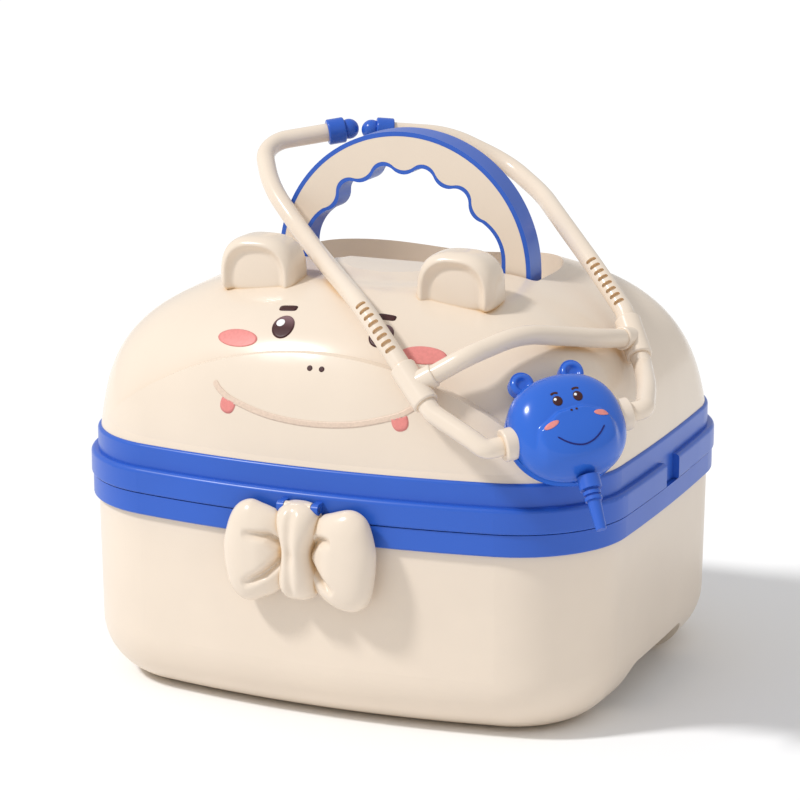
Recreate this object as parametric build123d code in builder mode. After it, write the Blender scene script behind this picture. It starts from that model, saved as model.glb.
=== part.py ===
"""Toy doctor case: a tub with a hinged dome lid, a bow latch, a fold-down carrying
handle, two ears, and a toy stethoscope draped over the lid.

The frame has its origin on the floor at the middle of the tub, +Z up, and the front of
the case faces -Y. All lengths are in millimetres and all angles in degrees.
"""
import os
from math import cos, hypot, radians, sin, sqrt, tan
from build123d import *

os.makedirs("parts", exist_ok=True)

# ------------------------------------------------------------------ driving dimensions
# Plan outline at the ledge, the widest line of the case
CASE_WIDTH = 250.0
CASE_DEPTH = 223.5
CORNER_RADIUS = 51.0
END_BOW = 6.7              # bulge of the front and back sides at mid-width
SIDE_BOW = 1.1             # bulge of the left and right sides

# Tub
TUB_HEIGHT = 89.0
TUB_WALL = 2.4
TUB_INSET = 2.95           # tub wall behind the ledge line, at the top
TUB_DRAFT = 0.8
TUB_FOOT_RADIUS = 27.0
CHANNEL_HEIGHT = 19.0      # tunnel under the tub that leaves two long feet
CHANNEL_ROOF = 54.0
CHANNEL_MOUTH = 98.0

# Base rim, a blue ring that caps the tub wall
RIM_INSET = 0.75
RIM_SKIRT = 6.8
RIM_CAP = 2.7
RIM_EDGE = 1.0
LIP_INSET = 6.8
LIP_WIDTH = 1.8
LIP_HEIGHT = 3.0

# Lid rim, a blue ring with a ledge and a narrower band above it
SPLIT_GAP = 0.3
LEDGE_HEIGHT = 11.0
LEDGE_EDGE = 2.0
BAND_INSET = 3.1
BAND_HEIGHT = 9.9
BAND_EDGE = 1.5
RING_WALL = 3.1
NOTCH_WIDTH = 17.0         # finger notch in each side of the ledge
NOTCH_DEPTH = 3.1

# Dome of the lid: sections that shrink with height, fuller at the back
DOME_INSET = 4.2
DOME_WALL = 2.6
DOME_HEIGHT = 69.5
DOME_CORNER = 48.0
DOME_TOP_CORNER = 22.0
DOME_TOP_BOW = 15.0
SIDE_POWER = 2.68
SIDE_TAPER = 0.01
FRONT_POWER = 3.7
FRONT_TAPER = 0.12
BACK_POWER = 6.5
BACK_TAPER = 0.275
SKIRT_DEPTH = 7.5
SKIRT_WALL = 1.9
MUZZLE_RISE = 5.0
MUZZLE_RADIUS = 160.0
MUZZLE_CENTRE = -1.0       # height of the centre of the muzzle's upper arc
MUZZLE_CROWN = 42.0        # height above the band where the muzzle stands out most
MUZZLE_BLEND = 0.6         # how far the muzzle's ends sink into the dome

# Ears
EAR_WIDTH = 35.5
EAR_SPACING = 92.0
EAR_FRONT = -CASE_DEPTH / 2 + 49.75
EAR_DEPTH = 23.0
EAR_TOP = TUB_HEIGHT + 109.0
EAR_CROWN = 11.0
EAR_ROUND = 6.0
EAR_DISH_RADIUS = 28.0
EAR_DISH_DEPTH = 3.0
EAR_PEG = 2.5
EAR_PEG_LENGTH = 9.0

# Carrying handle
HANDLE_RADIUS = 60.0
HANDLE_LEG = 13.5
HANDLE_THICKNESS = 13.5
HANDLE_CENTRE = TUB_HEIGHT + 89.5      # height of the centre of the handle's arc
PIVOT_Y = 1.75
PIVOT_Z = TUB_HEIGHT + 76.0
GRIP_RADIUS = 43.3         # middle of the finger wave
GRIP_WAVE = 2.1
GRIP_STEP = 13.0           # angle of half a wave
GRIP_BUMPS = 5
GRIP_END = 6.0             # height of the legs' inner edge above the arc's centre
PANEL_DEPTH = 1.5
PANEL_OUTER_MARGIN = 2.0
PANEL_INNER_MARGIN = 1.8
PANEL_CLEARANCE = 0.05
PIN_RADIUS = 3.0
PIN_COLLAR = 5.5
PIN_SEAT = 4.0             # length of the pin in the pocket's side wall
PIN_BOSS = 6.0             # boss behind that wall

# Pocket that the handle folds into
POCKET_SIDE_CLEARANCE = 3.5
POCKET_FRONT_CLEARANCE = 2.0
POCKET_FLOOR_CLEARANCE = 1.75
POCKET_CORNER = 3.0

# Hinge
HINGE_SPACING = 120.0
HINGE_GAP = 0.5            # between the knuckles and the back of the lid
KNUCKLE_RADIUS = 3.6
KNUCKLE_LENGTH = 7.0
HINGE_PIN_RADIUS = 1.5

# Latch
LATCH_AXIS_OUT = 3.75      # axis in front of the ledge at mid-width
LATCH_AXIS_DROP = 5.5      # axis below the ledge
LATCH_PIN_RADIUS = 1.2
LATCH_BARREL = 2.4
LATCH_BARREL_LENGTH = 12.0
LUG_WIDTH = 3.0
LATCH_PLATE = 2.0
LATCH_PLATE_DROP = 0.5     # plate's upper end below the pin's bore
HOOK_REACH = 3.2
HOOK_HEIGHT = 2.4
LATCH_GAP = 0.55           # bow behind face to the ledge
BOW_DEPTH = 11.0
BOW_ROUND = 4.5
KNOT_DEPTH = 13.5
KNOT_ROUND = 6.0
LATCH_RECESS = 12.0        # height of the recess round the lugs
BOW_LOBE = (               # right lobe, X and height above the tub, from the knot round to the knot
    (2, -1), (14, 8.5), (23, 10.3), (31, 4), (34.5, -12), (31, -30), (23.5, -34.8), (13, -31.5), (2, -20),
)
KNOT_TOP = TUB_HEIGHT + 10.8
KNOT_BOTTOM = TUB_HEIGHT - 32.5
KNOT_WIDTH = 18.0
KNOT_GROOVE = 4.0          # radius of the groove down the knot
KNOT_GROOVE_DEPTH = 1.6

# Stethoscope
TUBE_RADIUS = 4.1
SLEEVE_RADIUS = 5.6
SLEEVE_LENGTH = 20.0
SLEEVE_EDGE = 0.8
BRANCH_RADIUS = 5.0
BRANCH_LENGTH = 9.5
LOWER_RUN = 5.0            # straight run below each tee
ELBOW_RUN = 7.0            # straight run into each chest collar
SLOT_COUNT = 8
SLOT_START = 8.2
SLOT_PITCH = 3.6
SLOT_LENGTH = 4.8
SLOT_WIDTH = 1.9
SLOT_DEPTH = 1.6
SLOT_FACING = (0.4, -0.9, 0.2)      # the side of the ear tubes that has the slots
TIP_RADIUS = 5.8
TIP_LENGTH = 8.0
TIP_REACH = 2.0            # centre of the bud beyond the collar
TIP_BALL = 4.6
CHEST_CENTRE = (109.4, -93.5, TUB_HEIGHT + 47.9)
CHEST_YAW = 35.5
CHEST_ROLL = 11.5
CHEST_PITCH = 35.5
CHEST_WIDTH = 50.0
CHEST_TALL = 46.0
CHEST_FRONT = 15.0
CHEST_ROUND = 12.0
CHEST_REAR = 8.5
CHEST_REAR_ROUND = 5.0
SNOUT_WIDTH = 44.0
SNOUT_TALL = 26.0
SNOUT_RAISE = 1.5          # the snout stands this far above the chin
SNOUT_DEPTH = 2.0
SNOUT_ROUND = 6.0
CHEST_EAR = 5.0
CHEST_EAR_SPACING = 22.0
CHEST_EAR_HEIGHT = 23.5
CHEST_EAR_THICKNESS = 5.0
COLLAR_RADIUS = 6.8
COLLAR_LENGTH = 10.0
COLLAR_SEAT = 18.0         # inner end of each collar from the middle of the chest piece
CORD_FORWARD = 5.0
CORD_LEAN = 2.5           # the boot leans this far to the left over half the head's height
CORD_SOCKET_RADIUS = 4.6
CORD_SOCKET_LENGTH = 5.5
CORD_RINGS = 2
CORD_RING_PITCH = 2.4
CORD_RING_RADIUS = 3.6
CORD_RADIUS = 2.8
CORD_STUB_LENGTH = 12.5
CORD_TAPER = 3.0

RUNNING_FIT = 0.05         # radial clearance of a pin that turns
SEAT_GAP = 0.1             # clearance of pieces that seat in each other

# ---------------------------------------------------------------- derived dimensions
split_z = TUB_HEIGHT + RIM_CAP
lid_z = split_z + SPLIT_GAP
ledge_z = lid_z + LEDGE_HEIGHT
band_z = ledge_z + BAND_HEIGHT
ring_inset = BAND_INSET + RING_WALL
hinge_z = split_z + SPLIT_GAP / 2
latch_y = -CASE_DEPTH / 2 - LATCH_AXIS_OUT
latch_z = ledge_z - LATCH_AXIS_DROP
bow_back = -CASE_DEPTH / 2 - LATCH_GAP
half_handle = HANDLE_THICKNESS / 2
ear_peg_places = [(side * EAR_SPACING / 2, EAR_FRONT + EAR_DEPTH / 2) for side in (-1, 1)]


class BowedRectangle(BaseSketchObject):
    """The case's plan shape: four bowed sides that run smoothly into round corners."""

    def __init__(self, half_width, half_depth, corner, end_bow, side_bow, shift=0.0, mode=Mode.ADD):
        across = half_width - side_bow - corner
        along = half_depth - end_bow - corner
        end_arc = (across**2 + end_bow**2) / (2 * end_bow)
        side_arc = (along**2 + side_bow**2) / (2 * side_bow)
        end_x = across + corner * across / end_arc
        end_y = along + corner * (end_arc - end_bow) / end_arc
        side_x = across + corner * (side_arc - side_bow) / side_arc
        side_y = along + corner * along / side_arc
        reach = hypot(end_x + side_x - 2 * across, end_y + side_y - 2 * along)
        mid_x = across + corner * (end_x + side_x - 2 * across) / reach
        mid_y = along + corner * (end_y + side_y - 2 * along) / reach
        with BuildSketch() as outline:
            with BuildLine():
                for sy in (1, -1):
                    ThreePointArc((-end_x, sy * end_y), (0, sy * half_depth), (end_x, sy * end_y))
                for sx in (1, -1):
                    ThreePointArc((sx * side_x, -side_y), (sx * half_width, 0), (sx * side_x, side_y))
                    for sy in (1, -1):
                        ThreePointArc(
                            (sx * end_x, sy * end_y), (sx * mid_x, sy * mid_y), (sx * side_x, sy * side_y)
                        )
            make_face()
        moved = outline.sketch.moved(Location((0, shift, 0)))
        super().__init__(obj=moved, rotation=0, align=None, mode=mode)


def case_outline(inset):
    """The ledge outline moved in by an inset, as arguments for BowedRectangle."""
    return (
        CASE_WIDTH / 2 - inset,
        CASE_DEPTH / 2 - inset,
        CORNER_RADIUS - inset,
        END_BOW,
        SIDE_BOW,
    )


def back_face(x, inset=0.0):
    """How far back the ledge outline, moved in by an inset, reaches at a distance x."""
    across = CASE_WIDTH / 2 - SIDE_BOW - CORNER_RADIUS
    end_arc = (across**2 + END_BOW**2) / (2 * END_BOW)
    centre = CASE_DEPTH / 2 - CORNER_RADIUS - end_arc
    return centre + sqrt((end_arc + CORNER_RADIUS - inset) ** 2 - x**2)


def dome_profile(height, power, taper):
    """Share of the base size that is left at a share of the dome's height."""
    return (1 - height**power) ** (1 / power) * (1 - taper * height)


def dome_section(height, inset=0.0, forward=0.0):
    """The dome's section at a share of its height, as arguments for BowedRectangle."""
    half_width = (CASE_WIDTH / 2 - DOME_INSET - inset) * dome_profile(height, SIDE_POWER, SIDE_TAPER)
    base_depth = CASE_DEPTH / 2 - DOME_INSET - inset
    front = base_depth * dome_profile(height, FRONT_POWER, FRONT_TAPER) + forward
    back = base_depth * dome_profile(height, BACK_POWER, BACK_TAPER)
    corner = DOME_CORNER - inset + (DOME_TOP_CORNER - DOME_CORNER) * height**2
    corner = min(corner, 0.6 * half_width)
    side_bow = SIDE_BOW
    end_bow = END_BOW + (DOME_TOP_BOW - END_BOW) * height
    end_bow = min(end_bow, 0.8 * (half_width - side_bow - corner))
    return half_width, (front + back) / 2, corner, end_bow, side_bow, (back - front) / 2


DOME_STEPS = 9
DOME_LAST_ANGLE = 84.0
dome_heights = [sin(radians(DOME_LAST_ANGLE * i / DOME_STEPS)) for i in range(DOME_STEPS + 1)]

hinge_inner = HINGE_SPACING / 2 - 1.5 * KNUCKLE_LENGTH
hinge_y = back_face(hinge_inner) + HINGE_GAP + KNUCKLE_RADIUS


class KnuckleProfile(BaseSketchObject):
    """A barrel on the hinge axis with a web that runs forward into the case."""

    def __init__(self, web_low, web_high):
        with BuildSketch() as outline:
            with Locations((hinge_y, hinge_z)):
                Circle(KNUCKLE_RADIUS)
            with Locations((hinge_y, hinge_z + web_low)):
                Rectangle(CORNER_RADIUS / 2, web_high - web_low, align=(Align.MAX, Align.MIN))
        super().__init__(obj=outline.sketch, rotation=0, align=None, mode=Mode.ADD)


# ------------------------------------------------------------------------------- base
# Tub: a drafted tray with rounded feet, and a tunnel under it from side to side
class TunnelProfile(BaseSketchObject):
    """The tunnel's section: a flat roof that runs down to the floor in two S curves."""

    def __init__(self, wall=0.0):
        floor_corner = (CHANNEL_MOUTH / 2, 0)
        middle = ((CHANNEL_MOUTH + CHANNEL_ROOF) / 4, CHANNEL_HEIGHT / 2)
        roof_corner = (CHANNEL_ROOF / 2, CHANNEL_HEIGHT)
        with BuildSketch() as outline:
            with BuildLine():
                TangentArc(floor_corner, middle, tangent=(-1, 0))
                TangentArc(roof_corner, middle, tangent=(1, 0))
                Line(roof_corner, (0, CHANNEL_HEIGHT))
                Line((0, CHANNEL_HEIGHT), (0, 0))
                Line((0, 0), floor_corner)
            make_face()
            mirror(about=Plane.YZ)
            if wall:
                offset(amount=wall)
        super().__init__(obj=outline.sketch, rotation=0, align=None, mode=Mode.ADD)


with BuildPart() as tub_hollow:
    with BuildSketch(Plane.XY.offset(TUB_HEIGHT)):
        BowedRectangle(*case_outline(TUB_INSET + TUB_WALL))
    extrude(amount=-(TUB_HEIGHT - TUB_WALL), taper=TUB_DRAFT)
    fillet(tub_hollow.edges().group_by(Axis.Z)[0], TUB_FOOT_RADIUS - TUB_WALL)
    with BuildSketch(Plane.YZ.offset(-CASE_WIDTH)):
        TunnelProfile(TUB_WALL)
    extrude(amount=2 * CASE_WIDTH, mode=Mode.SUBTRACT)

with BuildPart() as base_tub:
    with BuildSketch(Plane.XY.offset(TUB_HEIGHT)):
        BowedRectangle(*case_outline(TUB_INSET))
    extrude(amount=-TUB_HEIGHT, taper=TUB_DRAFT)
    fillet(base_tub.edges().group_by(Axis.Z)[0], TUB_FOOT_RADIUS)
    with BuildSketch(Plane.YZ.offset(-CASE_WIDTH)):
        TunnelProfile()
    extrude(amount=2 * CASE_WIDTH, mode=Mode.SUBTRACT)
    add(tub_hollow.part, mode=Mode.SUBTRACT)
base_tub.part.label = "base_tub"
export_step(base_tub.part, "parts/base_tub.step")

# Base rim: caps the tub wall, carries a lip inside the lid, and the outer hinge knuckles
with BuildPart() as base_rim:
    with BuildSketch(Plane.XY.offset(TUB_HEIGHT - RIM_SKIRT)):
        BowedRectangle(*case_outline(RIM_INSET))
    extrude(amount=RIM_SKIRT + RIM_CAP)
    fillet(base_rim.edges().group_by(Axis.Z)[0], RIM_EDGE)
    with BuildSketch(Plane.XY.offset(split_z)):
        BowedRectangle(*case_outline(LIP_INSET))
    extrude(amount=LIP_HEIGHT)
    for centre in (-HINGE_SPACING / 2, HINGE_SPACING / 2):
        for step in (-1, 1):
            with BuildSketch(Plane.YZ.offset(centre + step * KNUCKLE_LENGTH)):
                KnuckleProfile(-KNUCKLE_RADIUS, -SPLIT_GAP / 2)
            extrude(amount=(KNUCKLE_LENGTH - SPLIT_GAP) / 2, both=True)
    with BuildSketch(Plane.XY.offset(TUB_HEIGHT)):
        BowedRectangle(*case_outline(TUB_INSET - SEAT_GAP))
    extrude(amount=-CASE_DEPTH, mode=Mode.SUBTRACT)
    with BuildSketch(Plane.XY.offset(TUB_HEIGHT)):
        BowedRectangle(*case_outline(LIP_INSET + LIP_WIDTH))
    extrude(amount=CASE_DEPTH, mode=Mode.SUBTRACT)
    with BuildSketch(Plane.YZ.offset(-CASE_WIDTH / 2)):
        with Locations((hinge_y, hinge_z)):
            Circle(HINGE_PIN_RADIUS + RUNNING_FIT)
    extrude(amount=CASE_WIDTH, mode=Mode.SUBTRACT)
base_rim.part.label = "base_rim"
export_step(base_rim.part, "parts/base_rim.step")

# Hinge pins: one plain steel pin through the three knuckles of each hinge
with BuildPart() as hinge_pins:
    for centre in (-HINGE_SPACING / 2, HINGE_SPACING / 2):
        with BuildSketch(Plane.YZ.offset(centre)):
            with Locations((hinge_y, hinge_z)):
                Circle(HINGE_PIN_RADIUS)
        extrude(amount=1.5 * KNUCKLE_LENGTH, both=True)
hinge_pins.part.label = "hinge_pins"
export_step(hinge_pins.part, "parts/hinge_pins.step")

# -------------------------------------------------------------------------------- lid
# Lid rim: the ledge and the band above it, the middle hinge knuckles and the latch lugs
lug_centre = (LATCH_BARREL_LENGTH + LUG_WIDTH) / 2 + SPLIT_GAP
with BuildPart() as lid_rim:
    with BuildSketch(Plane.XY.offset(lid_z)):
        BowedRectangle(*case_outline(0))
    extrude(amount=LEDGE_HEIGHT)
    fillet(lid_rim.edges().group_by(Axis.Z)[-1], LEDGE_EDGE)
    fillet(lid_rim.edges().group_by(Axis.Z)[0], RIM_EDGE)
    with BuildSketch(Plane.XY.offset(ledge_z)):
        BowedRectangle(*case_outline(BAND_INSET))
    extrude(amount=BAND_HEIGHT)
    fillet(lid_rim.edges().group_by(Axis.Z)[-1], BAND_EDGE)
    with BuildSketch(Plane.XY.offset(lid_z)):
        for side in (-1, 1):
            with Locations((side * CASE_WIDTH / 2, 0)):
                Rectangle(2 * NOTCH_DEPTH, NOTCH_WIDTH)
    extrude(amount=LEDGE_HEIGHT, mode=Mode.SUBTRACT)
    for centre in (-HINGE_SPACING / 2, HINGE_SPACING / 2):
        with BuildSketch(Plane.YZ.offset(centre)):
            KnuckleProfile(SPLIT_GAP / 2, KNUCKLE_RADIUS)
        extrude(amount=(KNUCKLE_LENGTH - SPLIT_GAP) / 2, both=True)
    for side in (-1, 1):
        with BuildSketch(Plane.YZ.offset(side * lug_centre)):
            with Locations((latch_y, latch_z)):
                Circle(LATCH_BARREL)
                Rectangle(CORNER_RADIUS / 2, 2 * LATCH_BARREL, align=(Align.MIN, Align.CENTER))
        extrude(amount=LUG_WIDTH / 2, both=True)
    with BuildSketch(Plane.XY.offset(lid_z)):
        BowedRectangle(*case_outline(ring_inset))
    extrude(amount=CASE_DEPTH, mode=Mode.SUBTRACT)
    with BuildSketch(Plane.YZ.offset(-CASE_WIDTH / 2)):
        with Locations((hinge_y, hinge_z)):
            Circle(HINGE_PIN_RADIUS + RUNNING_FIT)
    extrude(amount=CASE_WIDTH, mode=Mode.SUBTRACT)
    with BuildSketch(Plane.YZ.offset(-lug_centre - LUG_WIDTH)):
        with Locations((latch_y, latch_z)):
            Circle(LATCH_PIN_RADIUS + RUNNING_FIT)
    extrude(amount=2 * (lug_centre + LUG_WIDTH), mode=Mode.SUBTRACT)
lid_rim.part.label = "lid_rim"
export_step(lid_rim.part, "parts/lid_rim.step")

# Dome: a loft through sections that shrink with height, hollow inside
with BuildPart() as dome_outer:
    for height in dome_heights:
        with BuildSketch(Plane.XY.offset(band_z + DOME_HEIGHT * height)):
            BowedRectangle(*dome_section(height))
    loft()

with BuildPart() as dome_inner:
    for height in dome_heights:
        with BuildSketch(Plane.XY.offset(band_z + (DOME_HEIGHT - DOME_WALL) * height)):
            BowedRectangle(*dome_section(height, inset=DOME_WALL))
    loft()

# Muzzle: the front of the dome pushed forward below a wide arc, with a rounded brow
with BuildPart() as muzzle:
    for height in dome_heights:
        swell = sin(radians(90 * min(height * DOME_HEIGHT / MUZZLE_CROWN, 1)))
        half_width, half_depth, corner, end_bow, side_bow, shift = dome_section(
            height, forward=(MUZZLE_RISE + MUZZLE_BLEND) * swell - MUZZLE_BLEND
        )
        with BuildSketch(Plane.XY.offset(band_z + DOME_HEIGHT * height)):
            BowedRectangle(half_width - MUZZLE_BLEND, half_depth, corner, end_bow, side_bow, shift)
    loft()
    with BuildSketch(Plane.XZ):
        with Locations((0, MUZZLE_CENTRE)):
            Circle(MUZZLE_RADIUS)
    extrude(amount=CASE_DEPTH, mode=Mode.INTERSECT)

# Pocket for the folded handle: straight front, round back, shaped like the handle's plan
pocket_side = HANDLE_RADIUS + POCKET_SIDE_CLEARANCE
pocket_front = PIVOT_Y - half_handle - POCKET_FRONT_CLEARANCE
pocket_back_centre = PIVOT_Y + HANDLE_CENTRE - PIVOT_Z
pocket_floor = PIVOT_Z - half_handle - POCKET_FLOOR_CLEARANCE


class PocketOutline(BaseSketchObject):
    """The pocket's plan: straight front and sides, and a half circle at the back."""

    def __init__(self, wall=0.0):
        side = pocket_side + wall
        front = pocket_front - wall
        with BuildSketch() as outline:
            with BuildLine():
                Line((-side, pocket_back_centre), (-side, front))
                Line((-side, front), (side, front))
                Line((side, front), (side, pocket_back_centre))
                ThreePointArc(
                    (side, pocket_back_centre), (0, pocket_back_centre + side), (-side, pocket_back_centre)
                )
            make_face()
            fillet(outline.vertices().group_by(Axis.Y)[0], POCKET_CORNER + wall)
        super().__init__(obj=outline.sketch, rotation=0, align=None, mode=Mode.ADD)


with BuildPart() as pocket_block:
    with BuildSketch(Plane.XY.offset(pocket_floor - DOME_WALL)):
        PocketOutline(DOME_WALL)
    extrude(amount=CASE_DEPTH)
    with BuildSketch(Plane.YZ.offset(-pocket_side - PIN_BOSS)):
        with Locations((PIVOT_Y, PIVOT_Z)):
            Circle(PIN_COLLAR)
    extrude(amount=2 * (pocket_side + PIN_BOSS))
    add(dome_outer.part, mode=Mode.INTERSECT)

# Lid shell: dome, muzzle, locating skirt and pocket in one moulding
with BuildPart() as lid_shell:
    add(dome_outer.part)
    add(muzzle.part)
    add(dome_inner.part, mode=Mode.SUBTRACT)
    add(pocket_block.part)
    with BuildSketch(Plane.XY.offset(band_z - SKIRT_DEPTH)):
        BowedRectangle(*case_outline(ring_inset + SEAT_GAP))
        BowedRectangle(*case_outline(ring_inset + SEAT_GAP + SKIRT_WALL), mode=Mode.SUBTRACT)
    extrude(amount=SKIRT_DEPTH + DOME_WALL)
    with BuildSketch(Plane.XY.offset(pocket_floor)):
        PocketOutline()
    extrude(amount=CASE_DEPTH, mode=Mode.SUBTRACT)
    with BuildSketch(Plane.YZ.offset(-pocket_side - PIN_SEAT)):
        with Locations((PIVOT_Y, PIVOT_Z)):
            Circle(PIN_RADIUS + RUNNING_FIT)
    extrude(amount=2 * (pocket_side + PIN_SEAT), mode=Mode.SUBTRACT)
    with BuildSketch(Plane.XY.offset(pocket_floor)):
        with Locations(*ear_peg_places):
            Circle(EAR_PEG + RUNNING_FIT)
    extrude(amount=CASE_DEPTH, mode=Mode.SUBTRACT)
lid_shell.part.label = "lid_shell"
export_step(lid_shell.part, "parts/lid_shell.step")

# Ears: rounded blocks with a scooped front, seated on the dome by a peg
with BuildPart() as ear_seat:
    for height in dome_heights:
        with BuildSketch(Plane.XY.offset(band_z + SEAT_GAP + DOME_HEIGHT * height)):
            BowedRectangle(*dome_section(height, inset=-SEAT_GAP))
    loft()

for name, side in (("left_ear", -1), ("right_ear", 1)):
    with BuildPart() as ear:
        with BuildSketch(Plane.XZ.offset(-EAR_FRONT)):
            with Locations((side * EAR_SPACING / 2, EAR_TOP)):
                Rectangle(EAR_WIDTH, EAR_TOP - pocket_floor, align=(Align.CENTER, Align.MAX))
        extrude(amount=-EAR_DEPTH)
        fillet(ear.edges().filter_by(Axis.Y).group_by(Axis.Z)[-1], EAR_CROWN)
        for end in (0, -1):
            rim_edges = ear.faces().sort_by(Axis.Y)[end].edges().sort_by(Axis.Z)[1:]
            fillet(rim_edges, EAR_ROUND)
        scoop_y = EAR_FRONT - EAR_DISH_RADIUS + EAR_DISH_DEPTH
        with Locations((side * EAR_SPACING / 2, scoop_y, EAR_TOP - EAR_WIDTH / 2)):
            Sphere(EAR_DISH_RADIUS, mode=Mode.SUBTRACT)
        add(ear_seat.part, mode=Mode.SUBTRACT)
        with BuildSketch(Plane.XY.offset(EAR_TOP - EAR_WIDTH / 2)):
            with Locations((side * EAR_SPACING / 2, EAR_FRONT + EAR_DEPTH / 2)):
                Circle(EAR_PEG)
        extrude(amount=-EAR_PEG_LENGTH)
    ear.part.label = name
    export_step(ear.part, f"parts/{name}.step")

# Handle pins: shaft and spacer collar in one, from the lid's pocket wall into each leg
leg_inner = HANDLE_RADIUS - HANDLE_LEG
with BuildPart() as handle_pins:
    for side in (-1, 1):
        with BuildSketch(Plane.YZ.offset(side * (leg_inner + SPLIT_GAP))):
            with Locations((PIVOT_Y, PIVOT_Z)):
                Circle(PIN_RADIUS)
        extrude(amount=side * (pocket_side + PIN_SEAT - SEAT_GAP - leg_inner - SPLIT_GAP))
        with BuildSketch(Plane.YZ.offset(side * (HANDLE_RADIUS + SPLIT_GAP))):
            with Locations((PIVOT_Y, PIVOT_Z)):
                Circle(PIN_COLLAR)
        extrude(amount=side * (POCKET_SIDE_CLEARANCE - SPLIT_GAP - SEAT_GAP))
handle_pins.part.label = "handle_pins"
export_step(handle_pins.part, "parts/handle_pins.step")

# Latch pin through both lugs and the lever's barrel
with BuildPart() as latch_pin:
    with BuildSketch(Plane.YZ):
        with Locations((latch_y, latch_z)):
            Circle(LATCH_PIN_RADIUS)
    extrude(amount=lug_centre + LUG_WIDTH / 2, both=True)
latch_pin.part.label = "latch_pin"
export_step(latch_pin.part, "parts/latch_pin.step")

# ------------------------------------------------------------------------------ latch
# Lever: barrel, plate and a hook that catches under the base rim
hook_top = TUB_HEIGHT - RIM_SKIRT - SPLIT_GAP
hook_bottom = hook_top - HOOK_HEIGHT
plate_top = latch_z - LATCH_PIN_RADIUS - RUNNING_FIT - LATCH_PLATE_DROP
with BuildPart() as latch_lever:
    with BuildSketch(Plane.YZ):
        with Locations((latch_y, latch_z)):
            Circle(LATCH_BARREL)
            Circle(LATCH_PIN_RADIUS + RUNNING_FIT, mode=Mode.SUBTRACT)
    extrude(amount=LATCH_BARREL_LENGTH / 2, both=True)
    with BuildSketch(Plane.YZ):
        with Locations((latch_y, hook_bottom)):
            Rectangle(LATCH_PLATE, plate_top - hook_bottom, align=(Align.MAX, Align.MIN))
            Rectangle(HOOK_REACH + TUB_INSET, HOOK_HEIGHT, align=(Align.MIN, Align.MIN))
    extrude(amount=LATCH_BARREL_LENGTH / 2, both=True)
latch_lever.part.label = "latch_lever"
export_step(latch_lever.part, "parts/latch_lever.step")

# ----------------------------------------------------------------------------- handle
handle_plane = Plane(origin=(0, PIVOT_Y, HANDLE_CENTRE), x_dir=(1, 0, 0), z_dir=(0, -1, 0))


def polar(radius, angle):
    """A point on the handle's plane, seen from the centre of its arc."""
    return radius * cos(radians(angle)), radius * sin(radians(angle))


class HandleOutline(BaseSketchObject):
    """The handle's face: a round outside, straight legs and a wavy finger grip inside."""

    def __init__(self, outer_margin=0.0, inner_margin=0.0, foot=PIVOT_Z - HANDLE_CENTRE):
        outer = HANDLE_RADIUS - outer_margin
        leg = leg_inner + inner_margin
        grip = GRIP_RADIUS + inner_margin
        first = 90 - GRIP_STEP * (GRIP_BUMPS - 0.5)
        with BuildSketch() as outline:
            with BuildLine():
                Line((outer, foot), (outer, 0))
                ThreePointArc((outer, 0), (0, outer), (-outer, 0))
                Line((-outer, 0), (-outer, foot))
                Line((-outer, foot), (-leg, foot))
                Line((-leg, foot), (-leg, GRIP_END))
                for step in range(2 * GRIP_BUMPS - 1):
                    start = first + GRIP_STEP * step
                    end = start + GRIP_STEP
                    crest = grip + (-GRIP_WAVE if step % 2 == 0 else GRIP_WAVE)
                    ThreePointArc(polar(grip, start), polar(crest, (start + end) / 2), polar(grip, end))
                TangentArc((leg, GRIP_END), polar(grip, first), tangent=(0, 1))
                TangentArc((-leg, GRIP_END), polar(grip, 180 - first), tangent=(0, 1))
                Line((leg, GRIP_END), (leg, foot))
                Line((leg, foot), (outer, foot))
            make_face()
        super().__init__(obj=outline.sketch, rotation=0, align=None, mode=Mode.ADD)


# Handle frame: the blue moulding, recessed on both faces, with a round end and a bore
with BuildPart() as handle_frame:
    with BuildSketch(handle_plane):
        HandleOutline()
    extrude(amount=half_handle, both=True)
    for face_plane, depth in (
        (handle_plane.offset(half_handle), -PANEL_DEPTH),
        (handle_plane.offset(-half_handle), PANEL_DEPTH),
    ):
        with BuildSketch(face_plane):
            HandleOutline(PANEL_OUTER_MARGIN, PANEL_INNER_MARGIN)
        extrude(amount=depth, mode=Mode.SUBTRACT)
    for side in (-1, 1):
        with BuildSketch(Plane.YZ.offset(side * leg_inner)):
            with Locations((PIVOT_Y, PIVOT_Z)):
                Circle(half_handle)
        extrude(amount=side * HANDLE_LEG)
    with BuildSketch(Plane.YZ.offset(-HANDLE_RADIUS)):
        with Locations((PIVOT_Y, PIVOT_Z)):
            Circle(PIN_RADIUS + RUNNING_FIT)
    extrude(amount=2 * HANDLE_RADIUS, mode=Mode.SUBTRACT)
handle_frame.part.label = "handle_frame"
export_step(handle_frame.part, "parts/handle_frame.step")

# Handle panels: cream inserts that lie flush in the recesses
panel_foot = PIVOT_Z - HANDLE_CENTRE + half_handle + SEAT_GAP
for name, start, depth in (
    ("handle_front_panel", half_handle - PANEL_DEPTH, PANEL_DEPTH),
    ("handle_rear_panel", -half_handle + PANEL_DEPTH, -PANEL_DEPTH),
):
    with BuildPart() as panel:
        with BuildSketch(handle_plane.offset(start)):
            HandleOutline(
                PANEL_OUTER_MARGIN + PANEL_CLEARANCE, PANEL_INNER_MARGIN + PANEL_CLEARANCE, panel_foot
            )
        extrude(amount=depth)
    panel.part.label = name
    export_step(panel.part, f"parts/{name}.step")

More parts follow.
